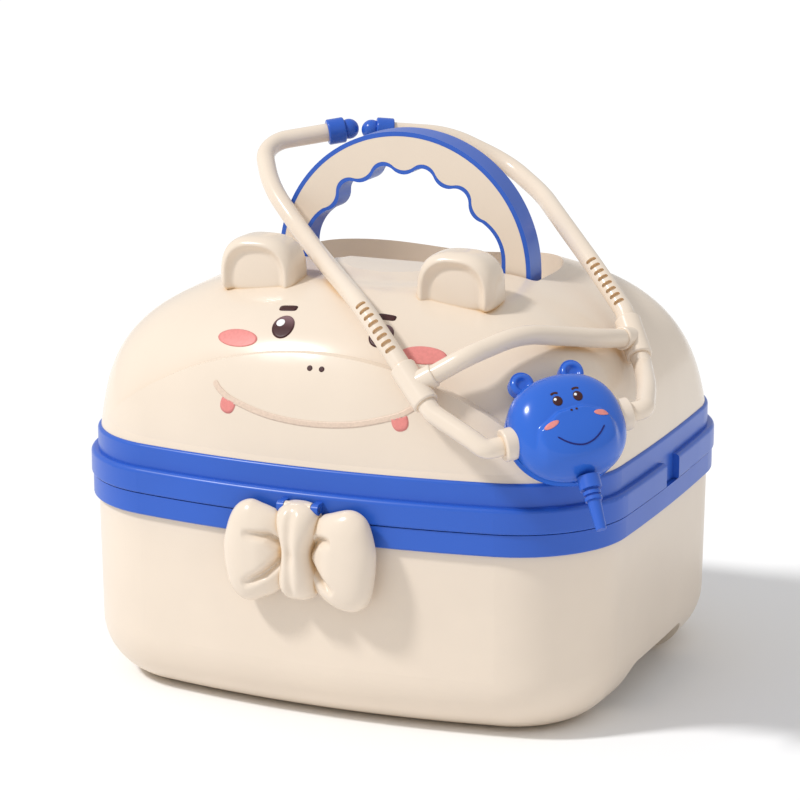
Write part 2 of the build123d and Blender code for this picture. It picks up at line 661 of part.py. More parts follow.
# -------------------------------------------------------------------------- bow latch
with BuildPart() as bow_lobe:
    with BuildSketch(Plane.XZ.offset(-bow_back)):
        with BuildLine():
            Spline(*[(x, TUB_HEIGHT + z) for x, z in BOW_LOBE], periodic=True)
        make_face()
    extrude(amount=BOW_DEPTH)
    fillet(bow_lobe.faces().sort_by(Axis.Y)[0].edges(), BOW_ROUND)

with BuildPart() as bow_knot:
    with BuildSketch(Plane.XZ.offset(-bow_back)):
        with Locations((0, (KNOT_TOP + KNOT_BOTTOM) / 2)):
            SlotOverall(KNOT_TOP - KNOT_BOTTOM, KNOT_WIDTH, rotation=90)
    extrude(amount=KNOT_DEPTH)
    fillet(bow_knot.faces().sort_by(Axis.Y)[0].edges(), KNOT_ROUND)
    with BuildSketch(Plane.XY.offset(KNOT_BOTTOM)):
        with Locations((0, bow_back - KNOT_DEPTH - KNOT_GROOVE + KNOT_GROOVE_DEPTH)):
            Circle(KNOT_GROOVE)
    extrude(amount=KNOT_TOP - KNOT_BOTTOM, mode=Mode.SUBTRACT)

# Bow: two puffed lobes and a knot, with a recess behind for the lugs and the lever
recess_width = 2 * (lug_centre + LUG_WIDTH / 2 + SPLIT_GAP)
with BuildPart() as latch_bow:
    add(bow_lobe.part)
    mirror(about=Plane.YZ)
    add(bow_knot.part)
    with BuildSketch(Plane.XZ.offset(-bow_back)):
        with Locations((0, latch_z + LATCH_BARREL + SPLIT_GAP)):
            Rectangle(recess_width, LATCH_RECESS, align=(Align.CENTER, Align.MAX))
    extrude(amount=bow_back - latch_y + LATCH_BARREL + SPLIT_GAP, mode=Mode.SUBTRACT)
    with BuildSketch(Plane.XZ.offset(-bow_back)):
        with Locations((0, hook_bottom - SPLIT_GAP)):
            slot_width = LATCH_BARREL_LENGTH + 2 * SEAT_GAP
            Rectangle(slot_width, plate_top - hook_bottom, align=(Align.CENTER, Align.MIN))
    extrude(amount=bow_back - latch_y + LATCH_PLATE, mode=Mode.SUBTRACT)
latch_bow.part.label = "latch_bow"
export_step(latch_bow.part, "parts/latch_bow.step")

# ------------------------------------------------------------------------ stethoscope
# Each route is a list of corners in X, Y and height above the tub. A tube runs straight
# between them and turns every corner on an arc that touches both runs.


def over_tub(x, y, height):
    """A point given by its height above the tub."""
    return (x, y, TUB_HEIGHT + height)


LEFT_EAR_ROUTE = (
    over_tub(-53.0, 32.0, 140.5),
    over_tub(-77.5, 15.0, 136.5),
    over_tub(-63.5, -6.0, 121.0),
    over_tub(-39.0, -22.0, 102.5),
    over_tub(-15.0, -50.0, 96.5),
    over_tub(17.0, -89.0, 90.5),
)
LEFT_TEE = over_tub(48.0, -106.0, 63.0)
LEFT_LOWER_BEND = over_tub(76.0, -116.0, 46.5)
SPREADER_ROUTE = (
    over_tub(68.0, -99.0, 75.5),
    over_tub(84.0, -80.0, 82.5),
    over_tub(106.0, -44.0, 75.0),
)
RIGHT_EAR_ROUTE = (
    over_tub(-25.5, 44.0, 141.0),
    over_tub(-3.0, 55.5, 139.0),
    over_tub(24.0, 60.0, 127.0),
    over_tub(46.5, 45.0, 117.0),
    over_tub(61.5, 24.0, 112.0),
    over_tub(88.0, 1.0, 94.5),
    over_tub(105.0, -11.0, 80.0),
)
RIGHT_TEE = over_tub(112.5, -20.0, 70.5)
RIGHT_LOWER_BEND = over_tub(129.0, -50.0, 58.0)

upright = Plane(
    origin=CHEST_CENTRE,
    x_dir=(cos(radians(CHEST_YAW)), sin(radians(CHEST_YAW)), 0),
    z_dir=(sin(radians(CHEST_YAW)), -cos(radians(CHEST_YAW)), 0),
)
chest_plane = Plane(upright.location * Rotation(-CHEST_PITCH, 0, CHEST_ROLL))


def chest_point(x, y, z):
    """A point given in the chest piece's own frame: across, up and out of its face."""
    return chest_plane.from_local_coords(Vector(x, y, z))


def point_towards(start, end, distance):
    """The point at a distance from one point on the way to another."""
    return Vector(*start) + (Vector(*end) - Vector(*start)).normalized() * distance


def square_to(start, end):
    """A plane at one point that faces another, for a section square to the run."""
    return Plane(origin=start, z_dir=Vector(*end) - Vector(*start))


def corner_radii(points, share=0.4):
    """Radii that give each corner's arc an equal share of the shorter run beside it."""
    radii = []
    for before, corner, after in zip(points, points[1:], points[2:]):
        arriving = Vector(*corner) - Vector(*before)
        leaving = Vector(*after) - Vector(*corner)
        half_turn = radians(arriving.get_angle(leaving)) / 2
        radii.append(share * min(arriving.length, leaving.length) / tan(half_turn))
    return radii


half_sleeve = SLEEVE_LENGTH / 2
collar_end = COLLAR_SEAT + COLLAR_LENGTH
elbow = collar_end + ELBOW_RUN
routes = {
    "left_ear_tube": [*LEFT_EAR_ROUTE, point_towards(LEFT_TEE, LEFT_EAR_ROUTE[-1], half_sleeve)],
    "right_ear_tube": [*RIGHT_EAR_ROUTE, point_towards(RIGHT_TEE, RIGHT_EAR_ROUTE[-1], half_sleeve)],
    "left_lower_tube": [
        point_towards(LEFT_TEE, LEFT_EAR_ROUTE[-1], -half_sleeve),
        point_towards(LEFT_TEE, LEFT_EAR_ROUTE[-1], -half_sleeve - LOWER_RUN),
        LEFT_LOWER_BEND,
        chest_point(-elbow, 0, 0),
        chest_point(-collar_end, 0, 0),
    ],
    "right_lower_tube": [
        point_towards(RIGHT_TEE, RIGHT_EAR_ROUTE[-1], -half_sleeve),
        point_towards(RIGHT_TEE, RIGHT_EAR_ROUTE[-1], -half_sleeve - LOWER_RUN),
        RIGHT_LOWER_BEND,
        chest_point(elbow, 0, 0),
        chest_point(collar_end, 0, 0),
    ],
    "spreader_bar": [
        point_towards(LEFT_TEE, SPREADER_ROUTE[0], BRANCH_LENGTH),
        *SPREADER_ROUTE,
        point_towards(RIGHT_TEE, SPREADER_ROUTE[-1], BRANCH_LENGTH),
    ],
}

# Tubes: round bars swept along their routes; the ear tubes have relief slots by the tee
for name, points in routes.items():
    with BuildPart() as tube:
        with BuildLine() as path:
            FilletPolyline(*points, radius=corner_radii(points))
        with BuildSketch(square_to(points[0], points[1])):
            Circle(TUBE_RADIUS)
        sweep(path=path.wires()[0])
        if name.endswith("ear_tube"):
            wire = path.wires()[0]
            for step in range(SLOT_COUNT):
                distance = wire.length - SLOT_START - step * SLOT_PITCH
                spot = wire.position_at(distance, position_mode=PositionMode.LENGTH)
                heading = wire.tangent_at(distance, position_mode=PositionMode.LENGTH)
                across = heading.cross(Vector(*SLOT_FACING)).normalized()
                slot_plane = Plane(origin=spot, x_dir=across, z_dir=across.cross(heading))
                with BuildSketch(slot_plane.offset(TUBE_RADIUS - SLOT_DEPTH)):
                    SlotOverall(SLOT_LENGTH, SLOT_WIDTH)
                extrude(amount=SLOT_DEPTH, mode=Mode.SUBTRACT)
    tube.part.label = name
    export_step(tube.part, f"parts/{name}.step")

# Tees: a sleeve in line with the ear tube, with a branch for the spreader
for name, tee, above, branch in (
    ("left_tee", LEFT_TEE, LEFT_EAR_ROUTE[-1], SPREADER_ROUTE[0]),
    ("right_tee", RIGHT_TEE, RIGHT_EAR_ROUTE[-1], SPREADER_ROUTE[-1]),
):
    with BuildPart() as fitting:
        with BuildSketch(square_to(tee, above)):
            Circle(SLEEVE_RADIUS)
        extrude(amount=half_sleeve, both=True)
        with BuildSketch(square_to(tee, branch)):
            Circle(BRANCH_RADIUS)
        extrude(amount=BRANCH_LENGTH)
        fillet(fitting.edges().filter_by(GeomType.CIRCLE), SLEEVE_EDGE)
    fitting.part.label = name
    export_step(fitting.part, f"parts/{name}.step")

# Ear tips: a collar on the tube's end with a round bud
for name, first, second in (
    ("left_ear_tip", *LEFT_EAR_ROUTE[:2]),
    ("right_ear_tip", *RIGHT_EAR_ROUTE[:2]),
):
    outward = (Vector(*first) - Vector(*second)).normalized()
    sideways = outward.cross(Vector(0, 0, 1)).normalized()
    with BuildPart() as tip:
        with BuildSketch(Plane(origin=first, x_dir=sideways, z_dir=sideways.cross(outward))) as half_tip:
            Rectangle(TIP_RADIUS, TIP_LENGTH, align=(Align.MIN, Align.MIN))
            fillet(half_tip.vertices().group_by(Axis.X)[-1], SLEEVE_EDGE)
            with Locations((0, TIP_LENGTH + TIP_REACH)):
                Circle(TIP_BALL)
            with Locations((0, TIP_LENGTH)):
                Rectangle(2 * TIP_BALL, 4 * TIP_BALL, align=(Align.MAX, Align.CENTER), mode=Mode.SUBTRACT)
        revolve(axis=Axis(first, outward))
    tip.part.label = name
    export_step(tip.part, f"parts/{name}.step")

# Chest piece: a domed front with a muzzle, and a shallower rear shell with two ears
for name, side in (("left_chest_collar", -1), ("right_chest_collar", 1)):
    seat_plane = square_to(chest_point(side * COLLAR_SEAT, 0, 0), chest_point(side * collar_end, 0, 0))
    with BuildPart() as collar:
        with BuildSketch(seat_plane):
            Circle(COLLAR_RADIUS)
        extrude(amount=COLLAR_LENGTH)
        fillet(collar.edges(), SLEEVE_EDGE)
    collar.part.label = name
    export_step(collar.part, f"parts/{name}.step")

collar_plane = square_to(chest_point(0, 0, 0), chest_point(1, 0, 0))
with BuildPart() as collar_space:
    with BuildSketch(collar_plane):
        Circle(COLLAR_RADIUS + SEAT_GAP)
    extrude(amount=CHEST_WIDTH, both=True)
    with BuildSketch(collar_plane):
        Circle(COLLAR_RADIUS + 2 * SEAT_GAP)
    extrude(amount=COLLAR_SEAT - SEAT_GAP, both=True, mode=Mode.SUBTRACT)

with BuildPart() as snout:
    with BuildSketch(chest_plane):
        with Locations((0, -CHEST_TALL / 2 + SNOUT_TALL / 2 + SNOUT_RAISE)):
            Ellipse(SNOUT_WIDTH / 2, SNOUT_TALL / 2)
    extrude(amount=CHEST_FRONT + SNOUT_DEPTH)
    fillet(snout.edges().sort_by(Axis(chest_plane.origin, chest_plane.z_dir))[-1], SNOUT_ROUND)

with BuildPart() as chest_front:
    with BuildSketch(chest_plane):
        Ellipse(CHEST_WIDTH / 2, CHEST_TALL / 2)
    extrude(amount=CHEST_FRONT)
    fillet(chest_front.edges().sort_by(Axis(chest_plane.origin, chest_plane.z_dir))[-1], CHEST_ROUND)
    add(snout.part)
    add(collar_space.part, mode=Mode.SUBTRACT)
chest_front.part.label = "chest_front"
export_step(chest_front.part, "parts/chest_front.step")

with BuildPart() as chest_rear:
    with BuildSketch(chest_plane.offset(-SEAT_GAP)):
        Ellipse(CHEST_WIDTH / 2, CHEST_TALL / 2)
    extrude(amount=-CHEST_REAR)
    fillet(chest_rear.edges().sort_by(Axis(chest_plane.origin, chest_plane.z_dir))[0], CHEST_REAR_ROUND)
    add(collar_space.part, mode=Mode.SUBTRACT)
    for side in (-1, 1):
        with BuildSketch(chest_plane.offset(-SEAT_GAP)):
            with Locations((side * CHEST_EAR_SPACING / 2, CHEST_EAR_HEIGHT)):
                Circle(CHEST_EAR)
        extrude(amount=-CHEST_EAR_THICKNESS)
chest_rear.part.label = "chest_rear"
export_step(chest_rear.part, "parts/chest_rear.step")

# Cord boot: a socket under the chest piece, two rings and a short tapered stub
boot_top = chest_point(0, -CHEST_TALL / 2 - SEAT_GAP, CORD_FORWARD)
boot_plane = square_to(boot_top, chest_point(-CORD_LEAN, -CHEST_TALL, CORD_FORWARD))
with BuildPart() as cord_boot:
    with BuildSketch(boot_plane):
        Circle(CORD_SOCKET_RADIUS)
    extrude(amount=CORD_SOCKET_LENGTH)
    for step in range(CORD_RINGS):
        with BuildSketch(boot_plane.offset(CORD_SOCKET_LENGTH + step * CORD_RING_PITCH)):
            Circle(CORD_RADIUS)
        extrude(amount=CORD_RING_PITCH)
        with BuildSketch(boot_plane.offset(CORD_SOCKET_LENGTH + (step + 0.4) * CORD_RING_PITCH)):
            Circle(CORD_RING_RADIUS)
        extrude(amount=CORD_RING_PITCH * 0.6)
    with BuildSketch(boot_plane.offset(CORD_SOCKET_LENGTH + CORD_RINGS * CORD_RING_PITCH)):
        Circle(CORD_RADIUS)
    extrude(amount=CORD_STUB_LENGTH, taper=CORD_TAPER)
cord_boot.part.label = "cord_boot"
export_step(cord_boot.part, "parts/cord_boot.step")
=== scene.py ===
"""A toy doctor case in cream and royal blue plastic, with a toy stethoscope laid over its lid.

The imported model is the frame: every length here is in metres, the floor is at Z = 0 and
the front of the case faces -Y. The sections follow the case from the tub up.
"""
import math

import bmesh
import bpy
from mathutils import Matrix, Vector
from mathutils.bvhtree import BVHTree


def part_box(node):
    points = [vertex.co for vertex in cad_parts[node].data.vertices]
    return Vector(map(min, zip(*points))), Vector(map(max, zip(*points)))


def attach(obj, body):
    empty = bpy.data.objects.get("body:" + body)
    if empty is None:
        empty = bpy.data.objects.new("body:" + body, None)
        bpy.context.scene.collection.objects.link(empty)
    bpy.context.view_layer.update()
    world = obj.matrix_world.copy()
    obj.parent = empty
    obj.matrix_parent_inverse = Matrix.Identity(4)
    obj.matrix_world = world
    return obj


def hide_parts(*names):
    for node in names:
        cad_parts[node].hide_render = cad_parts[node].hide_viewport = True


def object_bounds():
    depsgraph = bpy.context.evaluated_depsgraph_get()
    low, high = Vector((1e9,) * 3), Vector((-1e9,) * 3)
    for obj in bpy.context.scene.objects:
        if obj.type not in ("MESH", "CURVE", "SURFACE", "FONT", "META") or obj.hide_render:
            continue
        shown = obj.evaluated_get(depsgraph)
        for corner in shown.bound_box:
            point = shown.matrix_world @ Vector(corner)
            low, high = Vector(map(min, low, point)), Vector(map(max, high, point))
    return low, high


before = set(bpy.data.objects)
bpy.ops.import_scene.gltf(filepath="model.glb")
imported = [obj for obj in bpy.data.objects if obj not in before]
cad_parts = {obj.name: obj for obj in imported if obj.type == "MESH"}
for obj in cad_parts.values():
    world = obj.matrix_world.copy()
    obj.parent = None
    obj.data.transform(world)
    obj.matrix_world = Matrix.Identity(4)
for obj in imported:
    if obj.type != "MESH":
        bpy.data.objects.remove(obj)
cad_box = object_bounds()

# -------------------------------------------------------------------------- viewpoint
# A long lens a little above the lid and to the right of the front, so that the front,
# the right side and the underside of the handle all show.
VIEW_CENTRE = Vector((0, 0, 0.103))
VIEW_TURN = math.radians(22.99)
VIEW_RISE = math.radians(14.57)
VIEW_DISTANCE = 1.38714
VIEW_LIMIT = 50.0
SENSOR = 36.0
FRAME_PIXELS = 800
FOCAL_PIXELS = 3097.5
CENTRE_OFFSET_PIXELS = (7.47, 30.4)

lens = bpy.data.cameras.new("lens")
lens.sensor_width = SENSOR
lens.lens = SENSOR * FOCAL_PIXELS / FRAME_PIXELS
lens.shift_x = -CENTRE_OFFSET_PIXELS[0] / FRAME_PIXELS
lens.shift_y = CENTRE_OFFSET_PIXELS[1] / FRAME_PIXELS
lens.clip_end = VIEW_LIMIT
viewpoint = bpy.data.objects.new("viewpoint", lens)
bpy.context.scene.collection.objects.link(viewpoint)
towards_viewer = Vector((
    math.sin(VIEW_TURN) * math.cos(VIEW_RISE),
    -math.cos(VIEW_TURN) * math.cos(VIEW_RISE),
    math.sin(VIEW_RISE),
))
viewpoint.location = VIEW_CENTRE + towards_viewer * VIEW_DISTANCE
viewpoint.rotation_euler = (math.pi / 2 - VIEW_RISE, 0, VIEW_TURN)
bpy.context.scene.camera = viewpoint
bpy.context.scene.view_settings.view_transform = "Standard"

# -------------------------------------------------------------------- floor and light
# A wide matt white floor in a white room whose even light fills the shadows, and one
# strong lamp high on the left, large enough to give them a soft edge.
FLOOR_SIZE = 12.0
FLOOR_WHITE = 0.94
FLOOR_ROUGHNESS = 0.9
ROOM_STRENGTH = 0.64
KEY_FROM = Vector((-1.22, -1.05, 1.83))
KEY_SPREAD = math.radians(7)
KEY_STRENGTH = 2.0

room = bpy.data.worlds.new("white room")
room.use_nodes = True
room_light = room.node_tree.nodes["Background"]
room_light.inputs["Color"].default_value = (1, 1, 1, 1)
room_light.inputs["Strength"].default_value = ROOM_STRENGTH
bpy.context.scene.world = room

bpy.ops.mesh.primitive_plane_add(size=FLOOR_SIZE)
floor = bpy.context.object
floor.name = "floor"
floor_paint = bpy.data.materials.new("floor white")
floor_paint.use_nodes = True
floor_shader = floor_paint.node_tree.nodes["Principled BSDF"]
floor_shader.inputs["Base Color"].default_value = (FLOOR_WHITE, FLOOR_WHITE, FLOOR_WHITE, 1)
floor_shader.inputs["Roughness"].default_value = FLOOR_ROUGHNESS
floor_shader.inputs["Specular IOR Level"].default_value = 0.0
floor.data.materials.append(floor_paint)

key = bpy.data.lights.new("key lamp", "SUN")
key.angle = KEY_SPREAD
key.energy = KEY_STRENGTH
key_lamp = bpy.data.objects.new("key lamp", key)
bpy.context.scene.collection.objects.link(key_lamp)
key_lamp.rotation_euler = (-KEY_FROM).to_track_quat("-Z", "Y").to_euler()

# --------------------------------------------------------------------------- base tub
# The tub is one injection moulding in warm cream plastic with a soft gloss. The flow of
# the melt leaves faint cloudy tones, the tool's fine polish shows in the highlights, and
# its corners and crevices are painted a darker, warmer tan as painted shade.
CREAM = (0.80, 0.685, 0.565)
# Painted shade: the colour that corners and crevices take, darker and warmer than the cream.
PAINTED_CORNER_SHADE = (0.76, 0.56, 0.34)
CORNER_REACH = 0.0035                 # how far from a corner the painted shade reaches
CORNER_OPENNESS = (0.25, 0.8)         # painted shade where less open, plain where more open
CORNER_RAYS = 16
CLOUD_CELLS = 22                      # cells to the metre, as for the other noises
CLOUD_EDGES = (0.3, 0.7)
POLISH_CELLS = 70
POLISH_SPREAD = 0.08
GRAIN_CELLS = 700
RIPPLE_CELLS = 120
RIPPLE_SHARE = 0.5
GRAIN_DEPTH = 0.000006
GRAIN_STRENGTH = 0.25
PLASTIC_SPECULAR = 0.4


class Signal:
    """One output of a material's nodes, so that shader maths reads as an expression."""

    def __init__(self, tree, socket):
        self.tree = tree
        self.socket = socket

    def node(self, kind, settings, inputs, output=0):
        """Any node: its settings first, then the values or links of its sockets."""
        made = self.tree.nodes.new(kind)
        for name, value in settings.items():
            setattr(made, name, value)
        for name, value in inputs.items():
            if isinstance(value, Signal):
                self.tree.links.new(value.socket, made.inputs[name])
            else:
                made.inputs[name].default_value = value
        return Signal(self.tree, made.outputs[output])

    def _maths(self, operation, first, second):
        return self.node("ShaderNodeMath", {"operation": operation}, {0: first, 1: second})

    def __add__(self, other):
        return self._maths("ADD", self, other)

    def __mul__(self, other):
        return self._maths("MULTIPLY", self, other)

    __radd__ = __add__
    __rmul__ = __mul__

    def between(self, low, high):
        """0 below the low value, 1 above the high one, and a smooth step between."""
        return self.node(
            "ShaderNodeMapRange",
            {"interpolation_type": "SMOOTHSTEP"},
            {"Value": self, "From Min": low, "From Max": high},
        )

    def blend(self, first, second):
        """The first colour where this is 0, and the second where it is 1."""
        # A Mix node's sockets for colours are inputs 6 and 7, and output 2.
        colours = {0: self, 6: first, 7: second}
        return self.node("ShaderNodeMix", {"data_type": "RGBA"}, colours, output=2)

    def feeds(self, socket):
        """Links this to a socket of the shader."""
        self.tree.links.new(self.socket, socket)


def new_finish(name):
    """A new material, its shader, and the place on the object as a signal."""
    finish = bpy.data.materials.new(name)
    finish.use_nodes = True
    tree = finish.node_tree
    shader = tree.nodes["Principled BSDF"]
    place = Signal(tree, tree.nodes.new("ShaderNodeTexCoord").outputs["Object"])
    return finish, shader, place


def noise(place, cells, detail):
    """Cloudy noise from 0 to 1, with a number of cells to the metre."""
    return place.node("ShaderNodeTexNoise", {}, {"Vector": place, "Scale": cells, "Detail": detail})


def shade(colour, factor):
    """A colour made lighter or darker, as a shader wants it."""
    return (*(channel * factor for channel in colour), 1)


def moulded_plastic(name, colour, tone, roughness, corner=None):
    """Glossy moulded plastic: faint cloudy tones, an uneven polish, a fine skin, and painted corner
    shade if given.
    """
    finish, shader, place = new_finish(name)
    clouds = noise(place, CLOUD_CELLS, 3).between(*CLOUD_EDGES)
    tint = clouds.blend(shade(colour, 1 - tone), shade(colour, 1 + tone))
    # Painted shade: where ambient occlusion finds a corner close by, the corner colour replaces the
    # tint.
    if corner:
        openness = place.node(
            "ShaderNodeAmbientOcclusion",
            {"samples": CORNER_RAYS},
            {"Distance": CORNER_REACH},
            output=1,
        )
        tint = openness.between(*CORNER_OPENNESS).blend(shade(corner, 1), tint)
    tint.feeds(shader.inputs["Base Color"])
    polish = noise(place, POLISH_CELLS, 3) * POLISH_SPREAD + (roughness - POLISH_SPREAD / 2)
    polish.feeds(shader.inputs["Roughness"])
    skin = noise(place, GRAIN_CELLS, 2) + noise(place, RIPPLE_CELLS, 2) * RIPPLE_SHARE
    relief = {"Height": skin, "Distance": GRAIN_DEPTH, "Strength": GRAIN_STRENGTH}
    place.node("ShaderNodeBump", {}, relief).feeds(shader.inputs["Normal"])
    shader.inputs["Specular IOR Level"].default_value = PLASTIC_SPECULAR
    return finish


def cream_moulding(name, tone, roughness):
    """Moulded plastic in the case's cream, with painted warm shade in its corners."""
    return moulded_plastic(name, CREAM, tone, roughness, corner=PAINTED_CORNER_SHADE)


def dress(finish, *nodes):
    """Gives CAD nodes their finish."""
    for node in nodes:
        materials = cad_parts[node].data.materials
        materials.clear()
        materials.append(finish)


cream_plastic = cream_moulding("warm cream plastic", tone=0.02, roughness=0.32)
dress(cream_plastic, "base_tub")

# --------------------------------------------------------------------------- base rim
# The royal blue ring caps the tub's wall and carries the outer hinge knuckles. It is one
# moulding, snapped on.
ROYAL_BLUE = (0.026, 0.112, 0.54)
blue_plastic = moulded_plastic("royal blue plastic", ROYAL_BLUE, tone=0.03, roughness=0.34)
dress(blue_plastic, "base_rim")

# ------------------------------------------------------------------------- hinge pins
# Two plain drawn steel pins join the knuckles at the back. Drawing leaves fine lines
# along the wire.
STEEL = (0.60, 0.61, 0.63)
LINES_ACROSS = 9000                   # cells to the metre
LINES_ALONG = 60
LINE_SHADES = (0.85, 1.1)
WIRE_ROUGHNESS = 0.22
LINE_ROUGHNESS = 0.15


def drawn_steel(name, colour):
    """Bright drawn wire, with fine lines along X."""
    finish, shader, place = new_finish(name)
    cells = (LINES_ALONG, LINES_ACROSS, LINES_ACROSS)
    lines = noise(place.node("ShaderNodeMapping", {}, {"Vector": place, "Scale": cells}), 1, 2)
    darker, lighter = (shade(colour, factor) for factor in LINE_SHADES)
    lines.blend(darker, lighter).feeds(shader.inputs["Base Color"])
    (lines * LINE_ROUGHNESS + WIRE_ROUGHNESS).feeds(shader.inputs["Roughness"])
    shader.inputs["Metallic"].default_value = 1.0
    return finish


steel = drawn_steel("drawn steel", STEEL)
dress(steel, "hinge_pins")

# ---------------------------------------------------------------------------- lid rim
# The lid's ring is a second royal blue moulding, with a ledge that meets the base rim
# and a narrower band above it. Its tool was polished a little further.
lid_rim_plastic = moulded_plastic("lid rim plastic", ROYAL_BLUE, tone=0.03, roughness=0.31)
dress(lid_rim_plastic, "lid_rim")

# -------------------------------------------------------------------------- lid shell
# The domed lid is one cream moulding with a raised snout, and the pocket that takes the
# folded handle. Its tool was polished further than the tub's.
lid_plastic = cream_moulding("lid plastic", tone=0.015, roughness=0.2)
dress(lid_plastic, "lid_shell")

# ------------------------------------------------------------------------------- eyes
# The plain animal's face on the lid is pad printed: a soft pad presses a thin film of ink
# on the plastic. Each eye is a tilted oval of dark brown ink whose top turns mauve as a
# painted reflection of the bright room, and a round white glint is printed over it.
INK_FILM = 0.00014
PRESS_REACH = 0.03                    # how far off the pad starts
PRINT_SHIFT = 0.0015                  # the face sits a little to the right
INK_BROWN = (0.055, 0.016, 0.017)
# Painted reflection: the mauve that the eyes' tops turn to stands in for the room mirrored in
# glossy ink.
PAINTED_REFLECTION_MAUVE = (0.33, 0.20, 0.22)
INK_WHITE = (0.95, 0.95, 0.95)
INK_CELLS = 900
INK_EDGES = (0.2, 0.8)
INK_TONE = 0.06
INK_POLISH_CELLS = 400
INK_POLISH_SPREAD = 0.1
INK_ROUGHNESS = 0.3
INK_SPECULAR = 0.25
EYE_PLACE = (0.0224, 0.1663)          # X and Z of the right one; the left one mirrors it
EYE_SIZE = (0.0051, 0.0061)           # half width and half height, as for the other marks
EYE_TILT = math.radians(12)
# Heights over which the painted reflection fades in, from dark brown below to mauve above.
EYE_REFLECTION_FADE = (EYE_PLACE[1] - 0.001, EYE_PLACE[1] + EYE_SIZE[1])
GLINT_SHIFT = (-0.0018, 0.0019)
GLINT_SIZE = 0.0019
LINE_END_STEPS = 3                    # how much of a printed line's run its round end takes
LINE_END_LEAST = 0.05
SIDES = ((-1, "left"), (1, "right"))


def new_piece(name, shape, finish, body):
    """Turns a bmesh into a smooth piece that rides on a body."""
    bmesh.ops.recalc_face_normals(shape, faces=shape.faces)
    mesh = bpy.data.meshes.new(name)
    shape.to_mesh(mesh)
    shape.free()
    mesh.polygons.foreach_set("use_smooth", [True] * len(mesh.polygons))
    mesh.materials.append(finish)
    piece = bpy.data.objects.new(name, mesh)
    bpy.context.scene.collection.objects.link(piece)
    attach(piece, body)
    return piece


def round_square(angle, squareness):
    """Cosine and sine of a circle, or with more squareness of a rounded square."""
    return tuple(
        math.copysign(abs(wave(angle)) ** (2 / squareness), wave(angle))
        for wave in (math.cos, math.sin)
    )


def oval(half_width, half_height, squareness=2.0, points=48):
    """The outline of an ellipse, or with more squareness of a bar with round corners."""
    outline = []
    for step in range(points):
        wide, tall = round_square(2 * math.pi * step / points, squareness)
        outline.append((half_width * wide, half_height * tall))
    return outline


def turned(outline, tilt):
    """An outline turned about its middle."""
    return [
        (x * math.cos(tilt) - z * math.sin(tilt), x * math.sin(tilt) + z * math.cos(tilt))
        for x, z in outline
    ]


def eased(points, steps=12):
    """A smooth run through points, by a Catmull-Rom curve."""
    padded = [2 * points[0] - points[1], *points, 2 * points[-1] - points[-2]]
    run = []
    for a, b, c, d in zip(padded, padded[1:], padded[2:], padded[3:]):
        bend = 2 * a - 5 * b + 4 * c - d
        twist = 3 * b - a - 3 * c + d
        for step in range(steps):
            t = step / steps
            run.append(0.5 * (2 * b + (c - a) * t + bend * t * t + twist * t ** 3))
    return [*run, points[-1]]


def fill_loops(shape, hub, loops):
    """Joins a middle point and the loops round it into one sheet."""
    for step in range(len(loops[0])):
        after = (step + 1) % len(loops[0])
        shape.faces.new((hub, loops[0][step], loops[0][after]))
        for inner, outer in zip(loops, loops[1:]):
            shape.faces.new((inner[step], outer[step], outer[after], inner[after]))


def printing_ink(name, colour, reflection_colour=None, reflection_levels=None):
    """Matt ink with a faint dot grain, which may fade with height to a second colour as painted
    reflection.
    """
    finish, shader, place = new_finish(name)
    grain = noise(place, INK_CELLS, 2).between(*INK_EDGES)
    tint = grain.blend(shade(colour, 1 - INK_TONE), shade(colour, 1 + INK_TONE))
    # Painted reflection: towards the top the ink turns to the reflection colour.
    if reflection_colour:
        height = place.node("ShaderNodeSeparateXYZ", {}, {"Vector": place}, output=2)
        tint = height.between(*reflection_levels).blend(tint, shade(reflection_colour, 1))
    tint.feeds(shader.inputs["Base Color"])
    polish = noise(place, INK_POLISH_CELLS, 2) * INK_POLISH_SPREAD + INK_ROUGHNESS
    polish.feeds(shader.inputs["Roughness"])
    shader.inputs["Specular IOR Level"].default_value = INK_SPECULAR
    return finish


